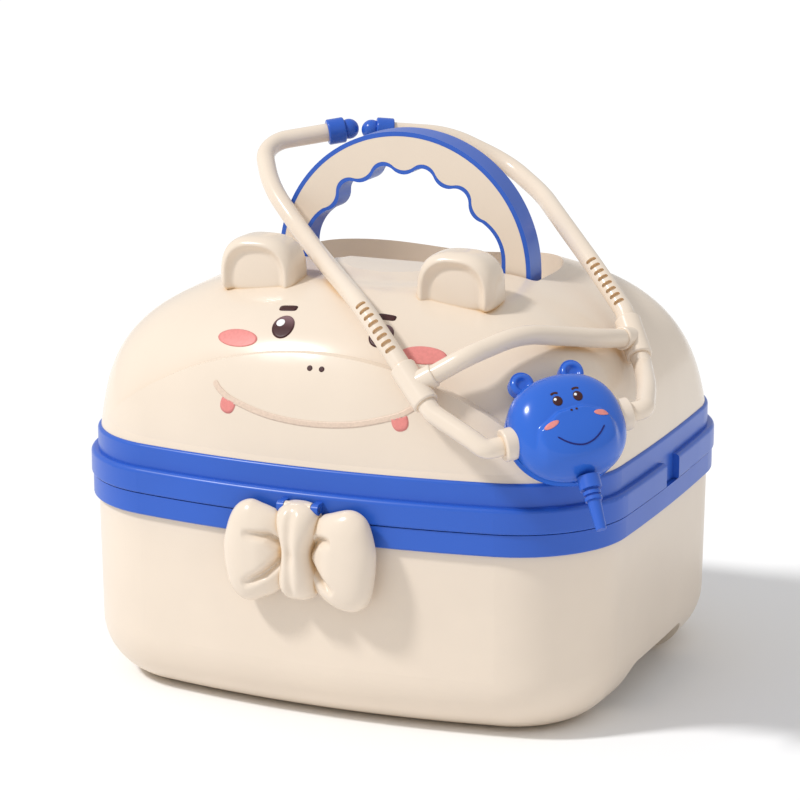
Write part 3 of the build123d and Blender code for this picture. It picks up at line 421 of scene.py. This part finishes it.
class PrintPad:
    """A soft pad that presses films of ink on one part, which rides on a body."""

    def __init__(self, part, body, middle, across, up, hugs=False):
        """The pad's middle and its two axes; one that hugs turns square to the part."""
        self.body = body
        self.middle = middle
        self.across = across
        self.up = up
        self.aim = up.cross(across).normalized()
        self.hugs = hugs
        shape = bmesh.new()
        shape.from_mesh(part.data)
        self.skin = BVHTree.FromBMesh(shape)
        shape.free()

    def press(self, point, aim, film):
        """Where a point pressed along an aim comes to lie, on top of the film."""
        spot, normal, _, _ = self.skin.ray_cast(point - aim * PRESS_REACH, aim)
        if normal.dot(aim) > 0:
            normal = -normal
        return spot + normal * film

    def spot(self, x, z):
        """The point of the part at a place on the pad."""
        return self.press(self.middle + self.across * x + self.up * z, self.aim, 0)

    def axes(self, spot):
        """The axes of a mark at a spot."""
        if not self.hugs:
            return self.across, self.up
        _, normal, _, _ = self.skin.find_nearest(spot)
        across = (self.across - normal * self.across.dot(normal)).normalized()
        return across, normal.cross(across).normalized()

    def mark(self, name, ink, place, outline, shift=(0, 0), film=INK_FILM, rings=3):
        """A filled mark: its outline round a place on the pad, shifted along the part."""
        spot = self.spot(*place)
        across, up = self.axes(spot)
        aim = up.cross(across).normalized()
        middle = spot + across * shift[0] + up * shift[1]
        shape = bmesh.new()
        loops = []
        for ring in range(1, rings + 1):
            points = [middle + (across * x + up * z) * (ring / rings) for x, z in outline]
            loops.append([shape.verts.new(self.press(point, aim, film)) for point in points])
        fill_loops(shape, shape.verts.new(self.press(middle, aim, film)), loops)
        self.dry(name, ink, shape, film)

    def line(self, name, ink, places, width):
        """A line of one width through places on the pad, with round ends."""
        run = eased([self.spot(*place) for place in places])
        last = len(run) - 1
        shape = bmesh.new()
        rows = []
        for index, point in enumerate(run):
            heading = (run[min(index + 1, last)] - run[max(index - 1, 0)]).normalized()
            sideways = self.aim.cross(heading).normalized()
            from_end = min(min(index, last - index) / LINE_END_STEPS, 1)
            half = width / 2 * math.sqrt(max(1 - (1 - from_end) ** 2, LINE_END_LEAST))
            points = [point + sideways * half * share for share in (-1, -0.5, 0, 0.5, 1)]
            rows.append([shape.verts.new(self.press(spot, self.aim, INK_FILM)) for spot in points])
        for row, following in zip(rows, rows[1:]):
            for corners in zip(row, row[1:], following[1:], following):
                shape.faces.new(corners)
        self.dry(name, ink, shape, INK_FILM)

    def dry(self, name, ink, shape, film):
        """Gives a sheet of ink its lower side and its edge, and makes it a piece."""
        bmesh.ops.recalc_face_normals(shape, faces=shape.faces)
        bmesh.ops.solidify(shape, geom=shape.faces[:], thickness=film)
        new_piece(name, shape, ink, self.body)


eye_ink_with_painted_reflection = printing_ink("eye ink with painted reflection", INK_BROWN, PAINTED_REFLECTION_MAUVE, EYE_REFLECTION_FADE)
white_ink = printing_ink("white ink", INK_WHITE)
lid_pad = PrintPad(
    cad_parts["lid_shell"], "lid",
    middle=Vector((PRINT_SHIFT, cad_box[0][1], 0)), across=Vector((1, 0, 0)), up=Vector((0, 0, 1)),
    hugs=True,
)
for side, hand in SIDES:
    place = (side * EYE_PLACE[0], EYE_PLACE[1])
    eye = turned(oval(*EYE_SIZE), -side * EYE_TILT)
    glint = oval(GLINT_SIZE, GLINT_SIZE)
    lid_pad.mark(f"{hand}_eye", eye_ink_with_painted_reflection, place, eye, rings=5)
    lid_pad.mark(f"{hand}_eye_glint", white_ink, place, glint, shift=GLINT_SHIFT, film=2 * INK_FILM)

# ------------------------------------------------------------------------------ brows
# The brows are two short dark bars with rounded corners, printed over the eyes. They are
# the only marks that stand evenly about the middle of the lid.
BROW_PLACE = (0.0226, 0.1722)
BROW_SIZE = (0.0042, 0.0018)
BROW_SQUARENESS = 4
brown_ink = printing_ink("brown ink", INK_BROWN)
for side, hand in SIDES:
    place = (side * BROW_PLACE[0] - PRINT_SHIFT, BROW_PLACE[1])
    lid_pad.mark(f"{hand}_brow", brown_ink, place, oval(*BROW_SIZE, BROW_SQUARENESS))

# ----------------------------------------------------------------------------- cheeks
# Each cheek is a wide oval of pink ink printed below and beside the eye, tilted up
# towards its outer end.
CHEEK_PLACE = (0.0424, 0.1603)
CHEEK_SIZE = (0.0100, 0.0042)
CHEEK_TILT = math.radians(6)
INK_PINK = (0.76, 0.262, 0.24)
pink_ink = printing_ink("pink ink", INK_PINK)
for side, hand in SIDES:
    place = (side * CHEEK_PLACE[0], CHEEK_PLACE[1])
    cheek = turned(oval(*CHEEK_SIZE), side * CHEEK_TILT)
    lid_pad.mark(f"{hand}_cheek", pink_ink, place, cheek, rings=8)

# --------------------------------------------------------------------------- nostrils
# Two small dots are printed close together on the crown of the snout, with the same dark
# ink as the brows.
NOSTRIL_PLACE = (0.0027, 0.1537)
NOSTRIL_SIZE = 0.0012
for side, hand in SIDES:
    place = (side * NOSTRIL_PLACE[0], NOSTRIL_PLACE[1])
    lid_pad.mark(f"{hand}_nostril", brown_ink, place, oval(NOSTRIL_SIZE, NOSTRIL_SIZE))

# ----------------------------------------------------------------- smile and its tabs
# The smile is a wide line of tan ink along the foot of the snout. A small pink tab, flat
# at its top and round below, hangs from it near each end.
SMILE = (                             # X and Z from the middle to the right end
    (0, 0.1315), (0.0190, 0.1329), (0.0357, 0.1371), (0.0430, 0.1406), (0.0468, 0.1442),
)
SMILE_WIDTH = 0.0026
TAB_PLACE = (0.0391, 0.1360)
TAB_SIZE = (0.0036, 0.0044)
TAB_SQUARENESS = 2.4
TAB_TOP = 0.3 * TAB_SIZE[1]
TAB_TILT = math.radians(17)
INK_TAN = (0.73, 0.575, 0.46)
tan_ink = printing_ink("tan ink", INK_TAN)


def both_halves(right_half):
    """A line's places from its left end to its right end, from those of its right half."""
    return [*((-x, z) for x, z in reversed(right_half[1:])), *right_half]


for side, hand in SIDES:
    place = (side * TAB_PLACE[0], TAB_PLACE[1])
    tab = [(x, min(z, TAB_TOP)) for x, z in oval(*TAB_SIZE, TAB_SQUARENESS)]
    lid_pad.mark(f"{hand}_tab", pink_ink, place, turned(tab, side * TAB_TILT))
lid_pad.line("smile", tan_ink, both_halves(SMILE), SMILE_WIDTH)

# ------------------------------------------------------------------------------- ears
# Each ear is a thick cream moulding with a soft scoop in its front, pegged into the lid.
# All its edges are generously rounded.
EAR_SQUARENESS = 2.8
EAR_EDGE_SQUARENESS = 4.2
EAR_CROWN = 0.0185                    # height of the arched part
SCOOP_DEPTH = 0.0036
SCOOP_SQUARENESS = 2.6
SCOOP_MARGIN = 0.0042                 # rim left round the scoop
SCOOP_EDGE = 1.3                      # the scoop starts here, as a share of its size
SCOOP_FADE = 0.8                      # and takes this much to reach its depth
SCOOP_SIDE_FADE = 2                   # the more, the sooner it starts behind the ear's front
ear_plastic = cream_moulding("ear plastic", tone=0.012, roughness=0.2)


def smooth_step(value):
    """0 up to 0, 1 from 1 on, and a smooth step between."""
    value = min(max(value, 0), 1)
    return value * value * (3 - 2 * value)


def close_loops(shape, loops):
    """Joins loops into a closed skin, with a fan over the first and over the last."""
    around = len(loops[0])
    for loop, following in zip(loops, loops[1:]):
        for step in range(around):
            after = (step + 1) % around
            shape.faces.new((loop[step], loop[after], following[after], following[step]))
    for loop in (loops[0], loops[-1]):
        centre = shape.verts.new(sum((vert.co for vert in loop), Vector()) / around)
        for step in range(around):
            shape.faces.new((loop[step], loop[(step + 1) % around], centre))


def scoop(x, z, half_width):
    """How deep the scoop is at a point of an ear's front, from the foot of its arch."""
    wide = abs(x) / (half_width - SCOOP_MARGIN)
    tall = max(z, 0) / (EAR_CROWN - SCOOP_MARGIN)
    outwards = wide ** SCOOP_SQUARENESS + tall ** SCOOP_SQUARENESS
    return SCOOP_DEPTH * smooth_step((SCOOP_EDGE - outwards) / SCOOP_FADE)


def sculpted_ear(name, around=96, layers=56):
    """An arched pillow in the space of the CAD ear, with its front scooped."""
    low, high = (Vector(corner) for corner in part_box(name))
    middle = (low + high) / 2
    half_width = (high.x - low.x) / 2
    half_depth = (high.y - low.y) / 2
    arch_foot = high.z - EAR_CROWN
    shape = bmesh.new()
    loops = []
    for layer in range(1, layers):
        shrink, reach = round_square(math.pi * (layer / layers - 0.5), EAR_EDGE_SQUARENESS)
        loop = []
        for step in range(around):
            wide, tall = round_square(2 * math.pi * step / around, EAR_SQUARENESS)
            height = EAR_CROWN if tall > 0 else arch_foot - low.z
            x = half_width * wide * shrink
            y = half_depth * reach
            z = height * tall * shrink
            if reach < 0:
                y += scoop(x, z, half_width) * smooth_step(-SCOOP_SIDE_FADE * reach)
            loop.append(shape.verts.new((middle.x + x, middle.y + y, arch_foot + z)))
        loops.append(loop)
    close_loops(shape, loops)
    piece = new_piece(f"{name}_sculpted", shape, ear_plastic, "lid")
    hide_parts(name)


sculpted_ear("left_ear")
sculpted_ear("right_ear")

# ------------------------------------------------------------------------ handle pins
# The handle turns on two short pins of royal blue plastic, set in the side walls of the
# lid's pocket.
handle_plastic = moulded_plastic("handle plastic", ROYAL_BLUE, tone=0.03, roughness=0.32)
dress(handle_plastic, "handle_pins")

# ----------------------------------------------------------------------- handle frame
# The carrying handle is an arched royal blue moulding, with a wave along its inner edge
# for the fingers. It folds back into the pocket.
dress(handle_plastic, "handle_frame")

# ---------------------------------------------------------------------- handle panels
# A cream moulding is let into a recess in each face of the handle, flush with the blue
# edge round it. The two are alike.
panel_plastic = cream_moulding("handle panel plastic", tone=0.012, roughness=0.32)
dress(panel_plastic, "handle_front_panel", "handle_rear_panel")

# -------------------------------------------------------------------------- latch pin
# The latch hangs on a plain drawn steel pin, pushed through the two lugs of the lid's
# ring and the lever between them.
dress(steel, "latch_pin")

# ------------------------------------------------------------------------ latch lever
# A sprung cream plate behind the bow hooks under the base rim. It is moulded with the
# barrel that turns on the pin.
dress(cream_plastic, "latch_lever")

# -------------------------------------------------------------------------- latch bow
# The latch's face is a thick bow in glossy cream plastic, clipped over the lever: two
# plump lobes with folds that run out from the knot, and a knot with a groove down it.
BOW_RIGHT = (                         # outline of the right lobe, X and Z
    (0.0030, 0.0870), (0.0095, 0.0945), (0.0150, 0.0968), (0.0225, 0.0988), (0.0276, 0.0977),
    (0.0314, 0.0938), (0.0341, 0.0847), (0.0346, 0.0770), (0.0330, 0.0642), (0.0302, 0.0580),
    (0.0247, 0.0550), (0.0181, 0.0557), (0.0115, 0.0589), (0.0065, 0.0640), (0.0030, 0.0720),
)
BOW_LEFT = (
    (-0.0030, 0.0860), (-0.0082, 0.0942), (-0.0176, 0.0978), (-0.0226, 0.0988), (-0.0277, 0.0966),
    (-0.0312, 0.0918), (-0.0336, 0.0842), (-0.0345, 0.0771), (-0.0333, 0.0666), (-0.0306, 0.0590),
    (-0.0261, 0.0552), (-0.0216, 0.0547), (-0.0159, 0.0570), (-0.0097, 0.0605), (-0.0030, 0.0690),
)
RIGHT_FOLDS = (                       # from the knot outwards, X and Z
    ((0.0050, 0.0800), (0.0100, 0.0850), (0.0175, 0.0863)),
    ((0.0045, 0.0765), (0.0110, 0.0688), (0.0178, 0.0632)),
)
LEFT_FOLDS = (
    ((-0.0060, 0.0805), (-0.0124, 0.0850), (-0.0235, 0.0856)),
    ((-0.0055, 0.0770), (-0.0140, 0.0686), (-0.0240, 0.0630)),
)
FOLD_DEPTH = 0.0044
FOLD_WIDTH = 0.0017
FOLD_TAPER = 4                        # the more, the later a fold runs out
FOLD_RIM_FADE = 1.5                   # the less, the earlier it fades towards the rim
LOBE_MIDDLE = (0.0195, 0.0773)        # X and Z of the fullest point
LOBE_BACK = 0.0025                    # swell of its back
LOBE_SETBACK = 0.0025                 # fullest point behind the front of the knot
LOBE_DOME = (2.7, 2.1)
PINCH = 0.62                          # share of its thickness that a lobe keeps at the knot
PINCH_START = 0.004
PINCH_RUN = 0.014
KNOT_MIDDLE = 0.0788
KNOT_HALF_HEIGHT = 0.0214
KNOT_TOP_HALF_WIDTH = 0.0101
KNOT_FOOT_HALF_WIDTH = 0.0088
KNOT_WAIST_HALF_WIDTH = 0.0066
KNOT_WAIST_REACH = 0.42               # shares of the knot's half height, as below
KNOT_BACK = 0.001
KNOT_SQUARENESS = 2.3
KNOT_DEPTH_DOME = (3.4, 2.2)
KNOT_WIDTH_DOME = (8, 2.2)
GROOVE_DEPTH = 0.0017
GROOVE_HALF_WIDTH = 0.0019
GROOVE_X = -0.0008
GROOVE_FADE = 3.4
DIMPLE = 0.55                         # how much deeper the groove is at the waist
DIMPLE_RISE = -0.02
DIMPLE_REACH = 0.16
bow_plastic = cream_moulding("bow plastic", tone=0.01, roughness=0.2)


def dome(outwards, flatness, fullness):
    """The height of a dome, 1 in its middle and 0 at its edge, where outwards is 1."""
    return (1 - outwards ** flatness) ** (1 / fullness)


def bell(distance, width):
    """1 in the middle of a soft groove or swelling, and next to 0 from twice its width."""
    return math.exp(-(distance / width) ** 2)


def from_fold(x, z, fold):
    """How far a point lies from a fold, and how far along the fold its foot is."""
    best = (1.0, 0.0)
    spans = len(fold) - 1
    for index, (start, end) in enumerate(zip(fold, fold[1:])):
        run = (end[0] - start[0], end[1] - start[1])
        squared = run[0] ** 2 + run[1] ** 2
        share = ((x - start[0]) * run[0] + (z - start[1]) * run[1]) / squared
        share = min(max(share, 0), 1)
        gap = math.hypot(x - start[0] - run[0] * share, z - start[1] - run[1] * share)
        best = min(best, (gap, (index + share) / spans))
    return best


def lobe_front(point, plump, swell, folds):
    """How far a lobe's front stands out: a dome, pinched at the knot and folded."""
    pinch = PINCH + (1 - PINCH) * smooth_step((abs(point.x) - PINCH_START) / PINCH_RUN)
    lift = plump * swell * pinch
    for fold in folds:
        gap, along = from_fold(point.x, point.z, fold)
        depth = FOLD_DEPTH * (1 - along ** FOLD_TAPER) * min(swell * FOLD_RIM_FADE, 1)
        lift -= depth * bell(gap, FOLD_WIDTH)
    return max(lift, 0)


def add_lobe(shape, outline, side, folds, low, high, rings=34, steps=7):
    """One plump lobe over its outline, whose front and back meet at its edge."""
    corners = [Vector((x, 0, z)) for x, z in outline]
    rim = eased([*corners, corners[0]], steps)[:-1]
    centre = Vector((side * LOBE_MIDDLE[0], 0, LOBE_MIDDLE[1]))
    edge = high.y - LOBE_BACK
    plump = edge - low.y - LOBE_SETBACK
    front = []
    back = []
    for ring in range(1, rings + 1):
        share = math.sin(math.pi / 2 * ring / rings)
        swell = dome(share, *LOBE_DOME)
        points = [centre + (spot - centre) * share for spot in rim]
        front.append([
            shape.verts.new((point.x, edge - lobe_front(point, plump, swell, folds), point.z))
            for point in points
        ])
        if ring < rings:
            rear = edge + LOBE_BACK * swell
            back.append([shape.verts.new((point.x, rear, point.z)) for point in points])
    back.append(front[-1])
    for loops in (front, back):
        hub = shape.verts.new(sum((vert.co for vert in loops[0]), Vector()) / len(rim))
        fill_loops(shape, hub, loops)


def add_knot(shape, low, high, around=72, layers=80):
    """The knot: an upright capsule with a waist, a groove down it and a dimple."""
    edge = high.y - KNOT_BACK
    plump = edge - low.y
    loops = []
    for layer in range(1, layers):
        rise = -math.cos(math.pi * layer / layers)
        widest = KNOT_TOP_HALF_WIDTH if rise > 0 else KNOT_FOOT_HALF_WIDTH
        narrowing = (widest - KNOT_WAIST_HALF_WIDTH) * bell(rise, KNOT_WAIST_REACH)
        half_width = (widest - narrowing) * dome(abs(rise), *KNOT_WIDTH_DOME)
        groove = GROOVE_DEPTH * (1 + DIMPLE * bell(rise - DIMPLE_RISE, DIMPLE_REACH))
        groove *= smooth_step(GROOVE_FADE * (1 - abs(rise)))
        loop = []
        for step in range(around):
            wide, deep = round_square(2 * math.pi * step / around, KNOT_SQUARENESS)
            x = half_width * wide
            reach = plump if deep > 0 else KNOT_BACK
            y = edge - reach * deep * dome(abs(rise), *KNOT_DEPTH_DOME)
            if deep > 0:
                y += groove * bell(x - GROOVE_X, GROOVE_HALF_WIDTH)
            loop.append(shape.verts.new((x, y, KNOT_MIDDLE + KNOT_HALF_HEIGHT * rise)))
        loops.append(loop)
    close_loops(shape, loops)


bow_low, bow_high = (Vector(corner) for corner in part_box("latch_bow"))
bow_shape = bmesh.new()
add_lobe(bow_shape, BOW_RIGHT, 1, RIGHT_FOLDS, bow_low, bow_high)
add_lobe(bow_shape, BOW_LEFT, -1, LEFT_FOLDS, bow_low, bow_high)
add_knot(bow_shape, bow_low, bow_high)
bow = new_piece("bow", bow_shape, bow_plastic, "latch")
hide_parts("latch_bow")

# --------------------------------------------------------------------------- ear tips
# The toy stethoscope lies loose over the lid. Its two ear tips are small glossy mouldings
# in royal blue plastic, pushed on the ends of the ear tubes.
tip_plastic = moulded_plastic("ear tip plastic", ROYAL_BLUE, tone=0.03, roughness=0.22)
dress(tip_plastic, "left_ear_tip", "right_ear_tip")

# -------------------------------------------------------------------------- ear tubes
# The ear tubes are stiff cream mouldings that keep their bends, with a row of slots
# where a real pair would flex.
# Like every cream moulding here, the tubes get painted shade in their slots and where they meet
# other parts.
tube_plastic = cream_moulding("tube plastic", tone=0.012, roughness=0.2)
dress(tube_plastic, "left_ear_tube", "right_ear_tube")

# -------------------------------------------------------------- tees and spreader bar
# Each ear tube ends in a cream tee, a sleeve with a branch to one side. The spreader bar
# is pushed between the two branches and holds the tubes apart.
dress(tube_plastic, "left_tee", "right_tee", "spreader_bar")

# ------------------------------------------------------------ lower tubes and collars
# Two short cream tubes run on from the tees. A cream collar on the end of each is held
# between the two shells of the chest piece.
dress(tube_plastic, "left_lower_tube", "right_lower_tube")
dress(tube_plastic, "left_chest_collar", "right_chest_collar")

# ----------------------------------------------------------- chest piece's rear shell
# The chest piece is two glossy shells in a brighter blue plastic, pressed together round
# the collars. The rear one is plain, with two round ears.
CHEST_BLUE = (0.026, 0.13, 0.60)
chest_plastic = moulded_plastic("chest piece plastic", CHEST_BLUE, tone=0.02, roughness=0.18)
dress(chest_plastic, "chest_rear")

# -------------------------------------------------------------------------- cord boot
# A short blue boot with two rings hangs below the chest piece and ends in the stub of a
# lead. It is moulded in a softer, rubbery plastic with a duller skin.
boot_plastic = moulded_plastic("cord boot rubber", ROYAL_BLUE, tone=0.03, roughness=0.36)
dress(boot_plastic, "cord_boot")

# ------------------------------------------------------------------------- chest head
# The chest piece's front shell is a small animal's head: one moulding with a plump dome,
# a raised muzzle and two little dished ears.
CHEST_MIDDLE = Vector((0.1094, -0.0935, 0.1369))
CHEST_YAW = math.radians(35.5)        # how far its face is turned to the right
CHEST_PITCH = math.radians(35.5)      # how far it leans back
CHEST_ROLL = math.radians(11.5)       # how far it is tipped in its own plane
HEAD_HALF_WIDTH = 0.0242
HEAD_HALF_HEIGHT = 0.0226
HEAD_SQUARENESS = 2.3
HEAD_PLUMP = 0.0152
HEAD_DOME = (2.8, 2.3)
MUZZLE = (                            # crease over the muzzle, from the left to the right
    (-0.0190, -0.0080), (-0.0152, -0.0007), (-0.0060, 0.0040), (0.0043, 0.0043),
    (0.0120, 0.0010), (0.0177, -0.0066),
)
MUZZLE_RAISE = 0.0022
MUZZLE_FADE = 0.0022
MUZZLE_END_FADE = 0.004
MUZZLE_ROUNDING = 0.3
MUZZLE_RIM_FADE = 3.5
LITTLE_EAR_MIDDLE = (0.0110, 0.0228)
LITTLE_EAR_RADIUS = 0.0049
LITTLE_EAR_THICKNESS = 0.0042
LITTLE_EAR_SETBACK = 0.0005
LITTLE_EAR_SQUARENESS = 3
LITTLE_EAR_DISH = 0.0014
LITTLE_EAR_DISH_EDGE = 0.72           # shares of the ear's radius
LITTLE_EAR_DISH_FADE = 0.4

chest_turn = (
    Matrix.Rotation(CHEST_YAW, 3, "Z")
    @ Matrix.Rotation(math.pi / 2 - CHEST_PITCH, 3, "X")
    @ Matrix.Rotation(CHEST_ROLL, 3, "Z")
)


def chest_point(x, y, out):
    """A point given on the chest piece's own axes: across, up and out of its face."""
    return CHEST_MIDDLE + chest_turn @ Vector((x, y, out))


def muzzle_rise(x, y):
    """How far the muzzle lifts the face: all of it below the crease, and none above."""
    for (x0, y0), (x1, y1) in zip(MUZZLE, MUZZLE[1:]):
        if x0 < x <= x1:
            along = (x - x0) / (x1 - x0)
            rounded = along + MUZZLE_ROUNDING * (smooth_step(along) - along)
            below = (y0 + (y1 - y0) * rounded - y) / MUZZLE_FADE
            from_end = min(x - MUZZLE[0][0], MUZZLE[-1][0] - x) / MUZZLE_END_FADE
            return MUZZLE_RAISE * smooth_step(below) * smooth_step(from_end)
    return 0.0


def add_head(shape, around=144, rings=60):
    """The head's dome, closed behind by a flat fan."""
    loops = []
    for ring in range(1, rings + 1):
        share = math.sin(math.pi / 2 * ring / rings)
        swell = HEAD_PLUMP * dome(share, *HEAD_DOME)
        loop = []
        for step in range(around):
            wide, tall = round_square(2 * math.pi * step / around, HEAD_SQUARENESS)
            x = HEAD_HALF_WIDTH * wide * share
            y = HEAD_HALF_HEIGHT * tall * share
            lift = muzzle_rise(x, y) * smooth_step(MUZZLE_RIM_FADE * (1 - share))
            loop.append(shape.verts.new(chest_point(x, y, swell + lift)))
        loops.append(loop)
    close_loops(shape, loops)


def add_little_ear(shape, side, around=48, layers=29):
    """A round little ear with its front dished."""
    loops = []
    for layer in range(1, layers):
        shrink, reach = round_square(math.pi * (layer / layers - 0.5), LITTLE_EAR_SQUARENESS)
        out = LITTLE_EAR_THICKNESS / 2 * reach - LITTLE_EAR_SETBACK
        if reach > 0:
            inwards = (LITTLE_EAR_DISH_EDGE - shrink) / LITTLE_EAR_DISH_FADE
            out -= LITTLE_EAR_DISH * smooth_step(inwards)
        loop = []
        for x, y in oval(LITTLE_EAR_RADIUS * shrink, LITTLE_EAR_RADIUS * shrink, points=around):
            point = chest_point(side * LITTLE_EAR_MIDDLE[0] + x, LITTLE_EAR_MIDDLE[1] + y, out)
            loop.append(shape.verts.new(point))
        loops.append(loop)
    close_loops(shape, loops)


head_shape = bmesh.new()
add_head(head_shape)
for side in (-1, 1):
    add_little_ear(head_shape, side)
chest_head = new_piece("chest_head", head_shape, chest_plastic, "stethoscope")
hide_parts("chest_front")

# -------------------------------------------------------- chest head's eyes and brows
# The head carries the same sort of plain face as the lid, pad printed on its front. Its
# eyes are dark ovals with a glint, under small arched brows.
CHEST_EYE = (0.0044, 0.0079)
CHEST_EYE_SIZE = (0.0020, 0.0022)
CHEST_GLINT_SHIFT = (-0.0007, 0.0008)
CHEST_GLINT_SIZE = 0.0006
CHEST_BROW = (0.0046, 0.0112)
CHEST_BROW_REACH = 0.0015
CHEST_BROW_ARCH = 0.0005
CHEST_BROW_WIDTH = 0.0009
SMALL_MARK_POINTS = 24                # corners of the outline of a dot

chest_pad = PrintPad(
    chest_head, "stethoscope", middle=CHEST_MIDDLE, across=chest_turn.col[0], up=chest_turn.col[1]
)
for side, hand in SIDES:
    place = (side * CHEST_EYE[0], CHEST_EYE[1])
    glint = oval(CHEST_GLINT_SIZE, CHEST_GLINT_SIZE, points=SMALL_MARK_POINTS)
    brow = [
        (side * CHEST_BROW[0] + reach * CHEST_BROW_REACH,
         CHEST_BROW[1] + CHEST_BROW_ARCH * (1 - reach * reach))
        for reach in (-1, -0.4, 0.4, 1)
    ]
    chest_pad.mark(f"chest_{hand}_eye", brown_ink, place, oval(*CHEST_EYE_SIZE))
    chest_pad.mark(
        f"chest_{hand}_eye_glint", white_ink, place, glint,
        shift=CHEST_GLINT_SHIFT, film=2 * INK_FILM, rings=2,
    )
    chest_pad.line(f"chest_{hand}_brow", brown_ink, brow, CHEST_BROW_WIDTH)

# -------------------------------------------- chest head's nostrils, cheeks and smile
# Two dots, two tilted pink ovals and a thin navy line complete that face. They are
# printed with the same inks as the lid's, but for the smile.
CHEST_NOSTRIL = (0.0011, 0.0020)
CHEST_NOSTRIL_SIZE = 0.0005
CHEST_CHEEK = (0.0109, -0.0019)
CHEST_CHEEK_SIZE = (0.0033, 0.0012)
CHEST_CHEEK_TILT = math.radians(-14)
CHEST_SMILE = ((0, -0.0128), (0.0040, -0.0119), (0.0075, -0.0098), (0.0102, -0.0072))
CHEST_SMILE_WIDTH = 0.0006
INK_NAVY = (0.012, 0.016, 0.16)
navy_ink = printing_ink("navy ink", INK_NAVY)
for side, hand in SIDES:
    nostril = oval(CHEST_NOSTRIL_SIZE, CHEST_NOSTRIL_SIZE, points=SMALL_MARK_POINTS)
    place = (side * CHEST_NOSTRIL[0], CHEST_NOSTRIL[1])
    chest_pad.mark(f"chest_{hand}_nostril", brown_ink, place, nostril, rings=2)
    cheek = turned(oval(*CHEST_CHEEK_SIZE), side * CHEST_CHEEK_TILT)
    place = (side * CHEST_CHEEK[0], CHEST_CHEEK[1])
    chest_pad.mark(f"chest_{hand}_cheek", pink_ink, place, cheek, rings=4)
chest_pad.line("chest_smile", navy_ink, both_halves(CHEST_SMILE), CHEST_SMILE_WIDTH)
